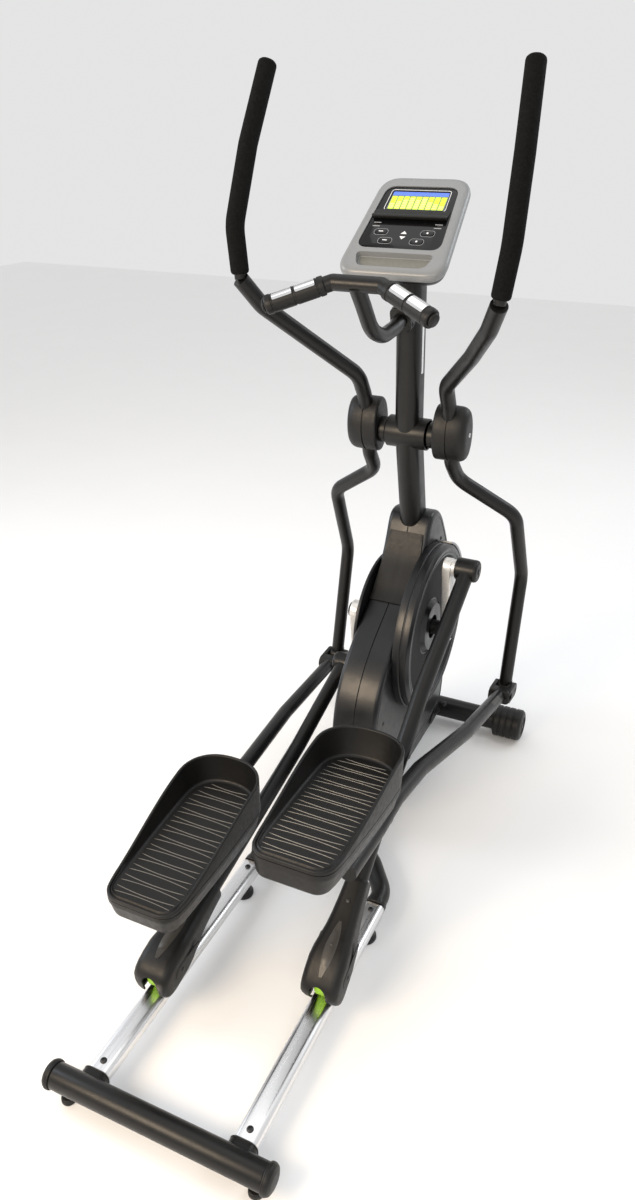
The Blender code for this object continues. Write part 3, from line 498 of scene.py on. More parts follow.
def baked(obj):
    """The mesh that the object's modifiers give."""
    bpy.context.view_layer.update()
    graph = bpy.context.evaluated_depsgraph_get()
    return bpy.data.meshes.new_from_object(obj.evaluated_get(graph))


# ---------------------------------------------------------------- node trees
def set_input(mod, name, value):
    """Set a node tree's input on its modifier by the input's name."""
    for item in mod.node_group.interface.items_tree:
        if item.item_type == "SOCKET" and item.in_out == "INPUT" and item.name == name:
            mod[item.identifier] = value
            return
    raise ValueError("the tree has no input named " + name)


def new_tree(name, inputs):
    """An empty geometry tree with its inputs, and its two end nodes."""
    tree = bpy.data.node_groups.new(name, "GeometryNodeTree")
    tree.interface.new_socket("Geometry", in_out="INPUT", socket_type="NodeSocketGeometry")
    for label, kind, default in inputs:
        socket = tree.interface.new_socket(label, in_out="INPUT", socket_type=kind)
        if default is not None:
            socket.default_value = default
    tree.interface.new_socket("Geometry", in_out="OUTPUT", socket_type="NodeSocketGeometry")
    return tree, tree.nodes.new("NodeGroupInput"), tree.nodes.new("NodeGroupOutput")


def wire(tree, *links):
    """Make links, each (from node, its output, to node, its input)."""
    for start, output, end, socket in links:
        tree.links.new(start.outputs[output], end.inputs[socket])


def finish_tree(tree, last, output, source, exit_node):
    """Realize what the last node gives and put the chosen finish on it."""
    real = tree.nodes.new("GeometryNodeRealizeInstances")
    paint = tree.nodes.new("GeometryNodeSetMaterial")
    wire(tree, (last, output, real, "Geometry"), (real, "Geometry", paint, "Geometry"),
         (source, "Finish", paint, "Material"), (paint, "Geometry", exit_node, "Geometry"))
    return tree


def tube_tree():
    """A round tube along the edges of the input, with flat filled ends."""
    found = bpy.data.node_groups.get("Tube along path")
    if found:
        return found
    tree, source, exit_node = new_tree("Tube along path", (
        ("Radius", "NodeSocketFloat", 0.016), ("Sides", "NodeSocketInt", 36), ("Finish", "NodeSocketMaterial", None)))
    curve = tree.nodes.new("GeometryNodeMeshToCurve")
    ring = tree.nodes.new("GeometryNodeCurvePrimitiveCircle")
    skin = tree.nodes.new("GeometryNodeCurveToMesh")
    skin.inputs["Fill Caps"].default_value = True
    wire(tree, (source, "Geometry", curve, "Mesh"), (source, "Radius", ring, "Radius"),
         (source, "Sides", ring, "Resolution"), (curve, "Curve", skin, "Curve"),
         (ring, "Curve", skin, "Profile Curve"))
    return finish_tree(tree, skin, "Mesh", source, exit_node)


def copies_tree():
    """One copy of an object on every vertex, turned and sized by the vertex's own attributes."""
    found = bpy.data.node_groups.get("Copies on points")
    if found:
        return found
    tree, source, exit_node = new_tree("Copies on points", (
        ("Copy", "NodeSocketObject", None), ("Size", "NodeSocketFloat", 1.0), ("Finish", "NodeSocketMaterial", None)))
    info = tree.nodes.new("GeometryNodeObjectInfo")
    place = tree.nodes.new("GeometryNodeInstanceOnPoints")
    euler = tree.nodes.new("FunctionNodeEulerToRotation")
    scale = tree.nodes.new("ShaderNodeVectorMath")
    scale.operation = "SCALE"
    for label, target, socket in (("turn", euler, "Euler"), ("stretch", scale, 0)):
        named = tree.nodes.new("GeometryNodeInputNamedAttribute")
        named.data_type = "FLOAT_VECTOR"
        named.inputs["Name"].default_value = label
        wire(tree, (named, "Attribute", target, socket))
    wire(tree, (source, "Copy", info, "Object"), (source, "Geometry", place, "Points"),
         (info, "Geometry", place, "Instance"), (euler, "Rotation", place, "Rotation"),
         (source, "Size", scale, "Scale"), (scale, "Vector", place, "Scale"))
    return finish_tree(tree, place, "Instances", source, exit_node)


def run_tree(obj, tree, **inputs):
    """Put the tree on the object, take its result as a solid and remove the object."""
    mod = obj.modifiers.new("build", "NODES")
    mod.node_group = tree
    for name, value in inputs.items():
        set_input(mod, name, value)
    mesh = baked(obj)
    bpy.data.objects.remove(obj, do_unlink=True)
    bm = bmesh.new()
    bm.from_mesh(mesh)
    bpy.data.meshes.remove(mesh)
    return bm


def tube(points, r, bend=0.06, steps=10):
    """A bent tube made by the tube tree."""
    path = rounded_path(points, bend, steps)
    bm = bmesh.new()
    verts = [bm.verts.new(p) for p in path]
    for a, b in zip(verts[:-1], verts[1:]):
        bm.edges.new((a, b))
    obj = scratch(bm, "path")
    result = run_tree(obj, tube_tree(), Radius=r, Sides=sizes().tube_sides,
                      Finish=finish_of("satin_paint"))
    bmesh.ops.remove_doubles(result, verts=result.verts, dist=1e-6)
    bmesh.ops.recalc_face_normals(result, faces=result.faces)
    return result


def copies(pattern, places):
    """Copies of a solid (axis +Z, base at the origin) at (point, axis direction, spin[, stretch]) places."""
    bm = bmesh.new()
    for point, *_ in places:
        bm.verts.new(point)
    obj = scratch(bm, "spots")
    turns = obj.data.attributes.new("turn", "FLOAT_VECTOR", "POINT")
    stretches = obj.data.attributes.new("stretch", "FLOAT_VECTOR", "POINT")
    for i, (_, axis, spin, *stretch) in enumerate(places):
        face = axis if isinstance(axis, Matrix) else Vector(axis).to_track_quat("Z", "Y").to_matrix()
        turn = face @ Matrix.Rotation(spin, 3, "Z")
        turns.data[i].vector = turn.to_euler("XYZ")
        stretches.data[i].vector = stretch[0] if stretch else (1, 1, 1)
    source = scratch(pattern, "pattern")
    result = run_tree(obj, copies_tree(), Copy=source, Size=1.0, Finish=finish_of("plated_steel"))
    bpy.data.objects.remove(source, do_unlink=True)
    return result


def hexagon(t):
    """How far a hexagon's flat lies in from its corner circle at angle t."""
    return math.cos((t + math.pi / 6) % (math.pi / 3) - math.pi / 6)


def screw_pattern(r, h, recess="hex"):
    """Domed screw head with a recess, axis +Z."""
    n = 24
    levels = [(0.0, 1.0), (0.35, 1.0), (0.62, 0.94), (0.82, 0.82), (0.95, 0.64), (1.0, 0.5)]
    loops = [[(u, v, h * z) for u, v in circle(r * k, n)] for z, k in levels]
    inner = []
    for i in range(n):
        t = math.tau * i / n
        inner.append((t, 0.42 / hexagon(t) if recess == "hex" else 0.16 + 0.3 * abs(math.cos(2 * t)) ** 3))
    for z in (1.0, 0.45):
        loops.append([(r * k * math.cos(t), r * k * math.sin(t), h * z) for t, k in inner])
    return loft(loops)


def hex_pattern(r, h):
    """Hexagon bolt head on a washer, axis +Z."""
    n = 24
    loops = []
    for z, k, flat in ((0.0, 1.35, 0), (0.25, 1.35, 0), (0.28, 1.3, 0), (0.3, 1.0, 1), (0.92, 1.0, 1),
                       (1.0, 0.9, 1), (1.0, 0.35, 0)):
        loop = []
        for i in range(n):
            t = math.tau * i / n
            edge = 0.866 / hexagon(t) if flat else 1.0
            loop.append((r * k * edge * math.cos(t), r * k * edge * math.sin(t), h * z))
        loops.append(loop)
    return loft(loops)


# ---------------------------------------------------------------- placing
class Piece:
    """Gathers solids with their finishes, then becomes one named object on one body."""

    def __init__(self, name, mirror=False, finish="satin_paint"):
        self.name = name
        self.mirror = mirror
        self.finish = finish
        self.parts = []

    def add(self, bm, finish=None):
        if self.mirror:
            bmesh.ops.scale(bm, vec=(-1, 1, 1), verts=bm.verts)
            bmesh.ops.reverse_faces(bm, faces=bm.faces)
        self.parts.append((bm, finish or self.finish))

    def place(self, body, slot, nodes=(), angle=38.0):
        names = []
        for _, finish in self.parts:
            if finish not in names:
                names.append(finish)
        whole = bmesh.new()
        for bm, finish in self.parts:
            for face in bm.faces:
                face.material_index = names.index(finish)
                face.smooth = True
            mesh = bpy.data.meshes.new("part")
            bm.to_mesh(mesh)
            bm.free()
            whole.from_mesh(mesh)
            bpy.data.meshes.remove(mesh)
        bmesh.ops.translate(whole, vec=(0, -FOOTPRINT, 0), verts=whole.verts)
        mesh = bpy.data.meshes.new(self.name)
        whole.to_mesh(mesh)
        whole.free()
        for attribute in [a.name for a in mesh.attributes if a.name in ("turn", "stretch")]:
            mesh.attributes.remove(mesh.attributes[attribute])
        for finish in names:
            mesh.materials.append(finish_of(finish))
        mesh.set_sharp_from_angle(angle=math.radians(angle))
        obj = bpy.data.objects.new(self.name, mesh)
        bpy.context.scene.collection.objects.link(obj)
        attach(obj, body)
        if nodes:
            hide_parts(*nodes)
        return obj


# ---------------------------------------------------------------- where the moving pieces stand
def swing_yz(sign, radius, angle_deg):
    """Point on a swing arm, from the hub, at an angle from straight down."""
    angle = math.radians(angle_deg) + sign * LEAN
    return HUB[0] + radius * math.sin(angle), HUB[1] - radius * math.cos(angle)


def crank_pin(sign):
    """Where the pin of one crank arm stands."""
    angle = CRANK_ANGLE if sign > 0 else CRANK_ANGLE + math.pi
    return AXLE[0] + CRANK_R * math.sin(angle), AXLE[1] + CRANK_R * math.cos(angle)


def link_frame(sign):
    """The roller's axis, the link's direction and its upward normal, in (y, z)."""
    py, pz = crank_pin(sign)
    wheel = Vector((py - math.sqrt(LINK_LEN ** 2 - (pz - WHEEL_Z) ** 2), WHEEL_Z))
    u = (Vector((py, pz)) - wheel).normalized()
    return wheel, u, Vector((-u.y, u.x))


def on_link(sign, s, h, x):
    """Point s along a link from its roller and h above it."""
    w, u, n = link_frame(sign)
    p = w + u * s + n * h
    return x, p.x, p.y


def pedal_frame(sign):
    """The pedal bar's pin, direction and upward normal, and its lug on the link."""
    w, u, n = link_frame(sign)
    q = w + u * LUG_ALONG + n * LUG_UP
    p = Vector(swing_yz(sign, PIVOT_R, PIVOT_ANGLE))
    e = (q - p).normalized()
    up = Vector((e.y, -e.x))
    return p, e, (up if up.y > 0 else -up), q


def on_bar(sign, a, h, x):
    """Point a along a pedal bar from its pin and h above it."""
    p, e, up, _ = pedal_frame(sign)
    r = p + e * a + up * h
    return x, r.x, r.y


UPPER = [(0.1, 0.0, 0.0), (0.101, 0.09, 200.0), (0.103, 0.148, 205.0), (0.1827, 0.277, 215.5),
         (0.2385, 0.39, 219.8), (0.264, 0.456, 219.2), (0.277, 0.533, 212.0), (0.272, 0.635, 201.0),
         (0.262, 0.74, 192.9)]
LOWER = [(0.1, 0.0, 0.0), (0.102, 0.06, 8.0), (0.106, 0.1345, 26.9), (0.2385, 0.2484, 29.3),
         (0.246, 0.4808, 27.8), (0.246, PIVOT_R - 0.012, 12.2)]
MAST_PATH = [(0, 1.3686, 0.1018), (0, *HUB), (0, 1.143, 1.372)]


def mast_solid(grow=0.0):
    """The upright, made thicker all round by grow."""
    path = rounded_path(MAST_PATH, 0.6, 8)
    return sweep(path, rounded(0.056 + 2 * grow, 0.072 + 2 * grow, 0.024 + grow, 8))


# ---------------------------------------------------------------- floor frame
def build_floor_frame():
    """Beam, fork tubes, rails, stabilisers and feet."""
    n = sizes().turned_sides
    beam = Piece("spine_beam_and_forks")
    path = [(0, 0.8, 0.062), (0, 0.9, 0.065), (0, 1.409, 0.065)]
    beam.add(sweep(path, rounded(0.08, 0.056, 0.012, 8), ease=0.002))
    for _, s in SIDES:
        beam.add(tube([(s * RAIL_X, 0.626, 0.046), (s * RAIL_X, 0.672, 0.048), (s * 0.105, 0.738, 0.056),
                       (s * 0.02, 0.822, 0.062), (0, 0.88, 0.064)], 0.0215, 0.07))
        beam.add(sweep([(s * RAIL_X, 0.6262, 0.0452), (s * RAIL_X, 0.64, 0.0458)], rounded(0.0455, 0.042, 0.018),
                       ease=0.001))
        beam.add(plate(hull_outline([(1.405, 0.06, 0.01), (1.385, 0.084, 0.006), (1.34, 0.06, 0.012)]),
                       s * 0.0395, s * 0.0425, 0.0008))
    bolts = [((s * 0.0425, 1.392, 0.062), (s, 0, 0), 0.3) for _, s in SIDES]
    bolts += [((s * 0.04, y, 0.06), (s, 0, 0), 0.2) for _, s in SIDES for y in (0.93, 1.15)]
    beam.add(copies(hex_pattern(0.0062, 0.0052), bolts), "black_bolt")
    beam.place("frame", "frame_paint", ("main_frame",))

    front = Piece("front_stabiliser_tube")
    front.add(turned([(-0.205, 0.0), (-0.205, 0.03), (0.205, 0.03), (0.205, 0.0)], FRONT_AXIS, n, 0.0015))
    front.add(rod(-0.266, 0.266, FRONT_AXIS, 0.012), "plated_steel")
    front.add(sweep([(0, 1.402, 0.0655), (0, 1.424, 0.06)], rounded(0.066, 0.04, 0.01), ease=0.0015))
    spots = [((s * 0.052, 1.4205, 0.069), (0, -0.66, 0.75), 0.2) for _, s in SIDES]
    spots += [((x, 1.4138, 0.0598), (0, -0.87, 0.49), 0.1) for x in (0.145, -0.145)]
    front.add(copies(hex_pattern(0.0062, 0.0052), spots), "black_bolt")
    front.place("frame", "frame_paint", ("front_stabiliser",))
    for name, s in SIDES:
        wheel = Piece("transport_wheel_cap_" + name, s < 0, "moulded_black")
        x0, x1, r = 0.2053, 0.288, 0.0455
        profile = [(x0, 0.0125), (x0, 0.04), (x0 + 0.004, r)]
        for i in range(3):
            a = x0 + 0.016 + i * 0.0185
            profile += [(a, r), (a + 0.001, r - 0.0022), (a + 0.0042, r - 0.0022), (a + 0.0052, r)]
        profile += [(x1 - 0.009, r), (x1 - 0.003, r - 0.005), (x1 - 0.0005, r - 0.012), (x1 - 0.0005, r - 0.018),
                    (x1 - 0.004, r - 0.02), (x1 - 0.004, 0.012), (x1 - 0.001, 0.01), (x1, 0.0)]
        wheel.add(turned(profile, FRONT_AXIS, n, 0.0008))
        wheel.place("transport_wheel_" + name, "black_plastic", ("transport_wheel_" + name,))

    rear = Piece("rear_stabiliser_tube")
    rear.add(turned([(-0.219, 0.0), (-0.219, 0.0245), (0.219, 0.0245), (0.219, 0.0)], REAR_AXIS, n, 0.0012))
    for _, s in SIDES:
        rear.add(sweep([(s * RAIL_X, 0.0, 0.047), (s * RAIL_X, 0.0374, 0.0455)], rounded(0.054, 0.037, 0.015),
                       ease=0.0012))
        rear.add(sweep([(s * RAIL_X, 0.0345, 0.0456), (s * RAIL_X, 0.0372, 0.0455)], rounded(0.0555, 0.0385, 0.016),
                       ease=0.0008))
    rear.place("frame", "frame_paint", ("rear_stabiliser",))
    for name, s in SIDES:
        cap = Piece("rear_end_cap_cover_" + name, s < 0, "moulded_black")
        cap.add(turned([(0.2193, 0.0), (0.2193, 0.0262), (0.2205, 0.027), (0.2225, 0.0275), (0.2232, 0.0268),
                        (0.224, 0.0275), (0.227, 0.0273), (0.2325, 0.0245), (0.236, 0.0165), (0.237, 0.0)],
                       REAR_AXIS, n, 0.002))
        cap.place("frame", "black_plastic", ("rear_end_cap_" + name,))
        build_feet_and_rail(name, s)


def build_feet_and_rail(name, s):
    """Levelling foot, middle foot, roller rail and the rail's screws on one side."""
    foot = Piece("levelling_foot_" + name, s < 0, "moulded_black")
    pad = [(0.0, 0.0), (0.0, 0.014), (0.0015, 0.0145), (0.0085, 0.0142), (0.011, 0.012), (0.0115, 0.006),
           (0.0315, 0.006), (0.0315, 0.0)]
    foot.add(upright(pad, (0.198, 0.0)))
    foot.add(upright([(0.015, 0.0), (0.015, 0.0095), (0.02, 0.0095), (0.02, 0.0)], (0.198, 0.0), 6),
             "black_bolt")
    foot.place("frame", "black_plastic", ("rear_foot_" + name,))
    foot = Piece("middle_foot_" + name, s < 0, "moulded_black")
    pad = [(0.0, 0.0), (0.0, 0.0225), (0.002, 0.0235), (0.008, 0.023), (0.011, 0.0205), (0.015, 0.019),
           (0.027, 0.018), (0.0297, 0.017), (0.0297, 0.0)]
    foot.add(upright(pad, (RAIL_X, 0.578)))
    foot.place("frame", "black_plastic", ("mid_foot_" + name,))
    rail = Piece("running_rail_" + name, s < 0)
    shape = rounded(0.048, 0.03, 0.0125, 10)
    rail.add(sweep([(RAIL_X, 0.0385, 0.045), (RAIL_X, 0.3, 0.045), (RAIL_X, 0.624, 0.045)], shape, ease=0.0006),
             "satin_aluminium")
    for y in (0.04, 0.6215):
        rail.add(sweep([(RAIL_X, y - 0.001, 0.045), (RAIL_X, y + 0.001, 0.045)],
                       rounded(0.0484, 0.0304, 0.0127, 10)), "plated_steel")
    rail.place("frame", "rail_metal", ("rail_" + name,))
    screws = Piece("rail_screws_" + name, s < 0)
    spots = [((RAIL_X, y, 0.0599), (0, 0, 1), 0.4) for y in (0.0585, 0.603)]
    screws.add(copies(screw_pattern(0.0065, 0.0036), spots), "black_bolt")
    screws.place("frame", "steel", ("rail_screw_" + name,))


def upright(profile, center, n=48):
    """Turn (z, r) points about a vertical line."""
    bm = turned(profile, (0.0, 0.0), n, 0.0006)
    for v in bm.verts:
        height, a, b = v.co
        v.co = (center[0] + a, center[1] + b, height)
    bmesh.ops.recalc_face_normals(bm, faces=bm.faces)
    return bm


# ---------------------------------------------------------------- mast and covers
def spine_outline():
    """The shroud seen from the side, counter-clockwise."""
    points = [(0.905, 0.104), (0.868, 0.15), (0.85, 0.23), (0.849, 0.31), (0.858, 0.362),
              (0.875, 0.41), (0.908, 0.458), (0.955, 0.5), (1.013, 0.536), (1.08, 0.574),
              (1.116, 0.616), (1.15, 0.655), (1.172, 0.697), (1.19, 0.742), (1.212, 0.76),
              (1.25, 0.757), (1.284, 0.735), (1.316, 0.69), (1.352, 0.63), (1.382, 0.55),
              (1.396, 0.45), (1.398, 0.34), (1.392, 0.24), (1.384, 0.16), (1.365, 0.104)]
    return smooth(points[::-1], 2)


def build_mast():
    """Upright with its hub, pivot pin, trim stripe and foot weld."""
    mast = Piece("upright_mast")
    mast.add(mast_solid())
    mast.add(rod(-0.048, 0.048, HUB, 0.0355, 0.003))
    mast.add(rod(-0.048, 0.048, HUB, 0.0362, 0.001, 64))
    mast.add(rod(-0.1265, 0.1265, HUB, 0.014), "plated_steel")
    for _, s in SIDES:
        band = [(y + u, z) for y, z, u in ((1.1574, 1.11, -0.0052), (1.1574, 1.11, 0.0052),
                                           (1.15, 1.246, 0.0052), (1.15, 1.246, -0.0052))]
        mast.add(plate(band, s * 0.0277, s * 0.0284, 0.0002), "print_white")
    mast.add(sweep([(0, 1.3676, 0.1058), (0, 1.3668, 0.1094)], rounded(0.059, 0.075, 0.025)))
    mast.place("frame", "frame_paint", ("mast",))


def shell_levels(edge, face):
    """(x, inset) levels of a shell from its parting edge to its face, with a wide rounded shoulder."""
    soft, steps = 0.011, 6
    levels = [(edge, 0.0011), (edge + 0.0011, 0.0)]
    for i in range(steps + 1):
        t = math.pi / 2 * i / steps
        levels.append((face - soft + soft * math.sin(t), soft * (1 - math.cos(t))))
    return levels


def build_shroud():
    """Two moulded halves with the side discs, their silver trims and the saddle panel."""
    outline = spine_outline()
    for name, s in SIDES:
        shell = Piece("shroud_half_" + name, s < 0, "shroud_black")
        body = stack([(x, inset(outline, d)) for x, d in shell_levels(0.00015, 0.055)])
        hole = turned([(0.03, 0.0), (0.03, 0.03), (0.08, 0.03), (0.08, 0.0)], AXLE, 64)
        inner = inset(outline, 0.003)
        hollow = stack([(-0.01, inner), (0.0435, inner), (0.052, inset(inner, 0.01))])
        shell.add(cut(body, mast_solid(0.0008), hole, hollow))
        rim = inset(outline, 0.0135)
        shell.add(stack([(0.0535, inset(rim, -0.001)), (0.0557, rim), (0.0557, inset(rim, 0.0022)),
                         (0.0535, inset(rim, 0.0032))], closed=True))
        spots = [((0.0546, y, z), (1, 0, 0), 0.2) for y, z in
                 ((0.905, 0.19), (0.912, 0.33), (1.35, 0.2), (1.345, 0.42), (1.285, 0.665))]
        shell.add(copies(screw_pattern(0.0058, 0.0022, "cross"), spots), "black_bolt")
        shell.place("frame", "shroud_plastic", ("shroud_" + name,), 30.0)
        build_side_disc(name, s)
    build_saddle_panel(outline)


def build_side_disc(name, s):
    """Round cover beside the crank and the silver band that follows its edge."""
    big, face = (0.213, 0.097) if s > 0 else (0.17, 0.0645)  # radius and outer face
    x0 = 0.0553
    if s > 0:
        profile = [(x0, big - 0.014), (x0, big - 0.001), (face - 0.0245, big), (face - 0.0235, big - 0.0016),
                   (face - 0.0215, big - 0.0016), (face - 0.0205, big), (face - 0.006, big),
                   (face, big - 0.009), (face - 0.0004, big - 0.017), (face - 0.0024, big - 0.0185),
                   (face - 0.0024, big - 0.02), (face - 0.0008, big - 0.0215), (face - 0.002, big - 0.027),
                   (face - 0.02, big - 0.036), (face - 0.022, 0.07), (face - 0.012, 0.06),
                   (face - 0.012, 0.03), (face - 0.02, 0.03), (face - 0.026, 0.07),
                   (face - 0.025, big - 0.03), (face - 0.01, big - 0.014)]
    else:
        profile = [(x0, 0.03), (x0, big - 0.001), (face - 0.003, big), (face, big - 0.006),
                   (face - 0.001, big - 0.022), (face - 0.005, big - 0.028), (face - 0.005, 0.06),
                   (face, 0.05), (face, 0.03)]
    disc = Piece("side_disc_cover_" + name, s < 0, "shroud_black")
    disc.add(turned(softened(profile + [profile[0]], 0.0014)[:-1], AXLE, 128, closed=True))
    if s > 0:
        ribs = [((face - 0.0225, AXLE[0] + 0.125 * u, AXLE[1] + 0.125 * v), (0, u, v), 0.0)
                for u, v in circle(1.0, 12)]
        disc.add(copies(rib_pattern(0.003, 0.005, 0.05), ribs))
        # a near-black ring laid on the floor of the disc's recess paints the shade there
        painted_shade_ring = [(face - 0.0214, 0.074), (face - 0.0206, 0.074), (face - 0.0186, big - 0.0375),
                (face - 0.02, big - 0.0375)]
        disc.add(turned(painted_shade_ring, AXLE, 128, closed=True), "black_gap")
    disc.place("frame", "black_plastic", ("side_disc_" + name,), 30.0)

    trim = Piece("side_trim_band_" + name, s < 0)
    x_in, x_out = x0 + 0.002, face - 0.0035
    e = min(0.0015, 0.3 * (x_out - x_in))
    loops = []
    for i in range(65):
        t = math.radians(-46 + 112 * i / 64)
        r0 = big + 0.0008
        r1 = r0 + 0.004 + 0.008 * math.sin(math.pi * i / 64)
        section = ((x_in, r0), (x_out, r0), (x_out, r1 - 2 * e), (x_out - 0.3 * e, r1 - 0.7 * e),
                   (x_out - e, r1), (x_in + e, r1), (x_in + 0.3 * e, r1 - 0.7 * e), (x_in, r1 - 2 * e))
        loops.append([(x, AXLE[0] + r * math.cos(t), AXLE[1] + r * math.sin(t)) for x, r in section])
    trim.add(loft(loops), "silver_plastic")
    trim.place("frame", "silver_plastic", ("side_trim_" + name,))


def build_saddle_panel(outline):
    """Panel over the spine below the mast, with the seam down its middle."""
    cap = Piece("mast_saddle_panel")
    spine = sorted((p for p in outline if p[0] < 1.2 and 0.568 < p[1] < 0.722), key=lambda p: p[1])
    loops = []
    for i, (y, z) in enumerate(spine):
        w = 0.0515 - 0.0105 * max(0.0, (z - 0.57) / 0.16) ** 1.5
        t = (Vector(spine[min(i + 1, len(spine) - 1)]) - Vector(spine[max(i - 1, 0)])).normalized()
        out = Vector((-t.y, t.x))
        end = 0.0006 if i in (0, len(spine) - 1) else 0.0
        section = []
        under = [(1.0 - 0.2 * k, 0.0015) for k in range(11)]
        over = [(-1.0, 0.0022), (-0.995, 0.0034)]
        over += [(-0.98 + 0.14 * k, 0.004 + 0.0009 * (1 - (abs(-0.98 + 0.14 * k)) ** 2) - end) for k in range(15)]
        over += [(0.995, 0.0034), (1.0, 0.0022)]
        for k, h in under + over:
            seam = 0.0008 if abs(k) < 0.03 and h > 0.003 else 0.0
            section.append((w * k, y + out.x * (h - seam), z + out.y * (h - seam)))
        loops.append(section)
    cap.add(loft(loops), "moulded_black")
    cap.place("frame", "black_plastic", ("mast_cover",), 30.0)


def rib_pattern(w, h, length):
    """Straight rib with an arched top: axis +Z is its length, centred."""
    shape = [(w / 2, 0), (w / 2, h * 0.6), (w * 0.3, h * 0.92), (0, h), (-w * 0.3, h * 0.92), (-w / 2, h * 0.6),
             (-w / 2, 0)]
    return loft([[(u, v, z) for u, v in shape] for z in (-length / 2, length / 2)])


# ---------------------------------------------------------------- console
def console_point(x, s, h):
    """Point on the sloping console: s up the slope and h out from its face."""
    c, d = math.cos(math.radians(36.0)), math.sin(math.radians(36.0))
    return x, 1.112 + s * c - h * d, 1.418 + s * d + h * c


def console_outline(top, bottom, low, high, r, steps=12):
    """Rounded trapezium from low to high, given its half widths."""
    corners = [Vector((top, high)), Vector((-top, high)), Vector((-bottom, low)), Vector((bottom, low))]
    points = []
    for i in range(4):
        a, b, c = corners[i - 1], corners[i], corners[(i + 1) % 4]
        points += corner_curve(b + (a - b).normalized() * r, b, b + (c - b).normalized() * r, steps)
    return [tuple(p) for p in points]


def slab(outline, *levels):
    """Stack (height, inset) levels of an outline in the console's plane."""
    return loft([[console_point(x, s, h) for x, s in inset(outline, d)] for h, d in levels])


def tile(x0, x1, s0, s1, h0, h1, r=0.0008):
    """Small flat block on the console."""
    shape = [(u + (x0 + x1) / 2, v + (s0 + s1) / 2) for u, v in rounded(x1 - x0, s1 - s0, r, 3)]
    return slab(shape, (h0, 0.0), (h1 - 0.0002, 0.0), (h1, 0.0002))


def outline_ring(shape, width, h0, h1):
    """Raised line round an outline."""
    inner = inset(shape, width)
    return loft([[console_point(x, s, h) for x, s in ring] for h, ring in
                 ((h0, shape), (h1, shape), (h1, inner), (h0, inner))], closed=True)


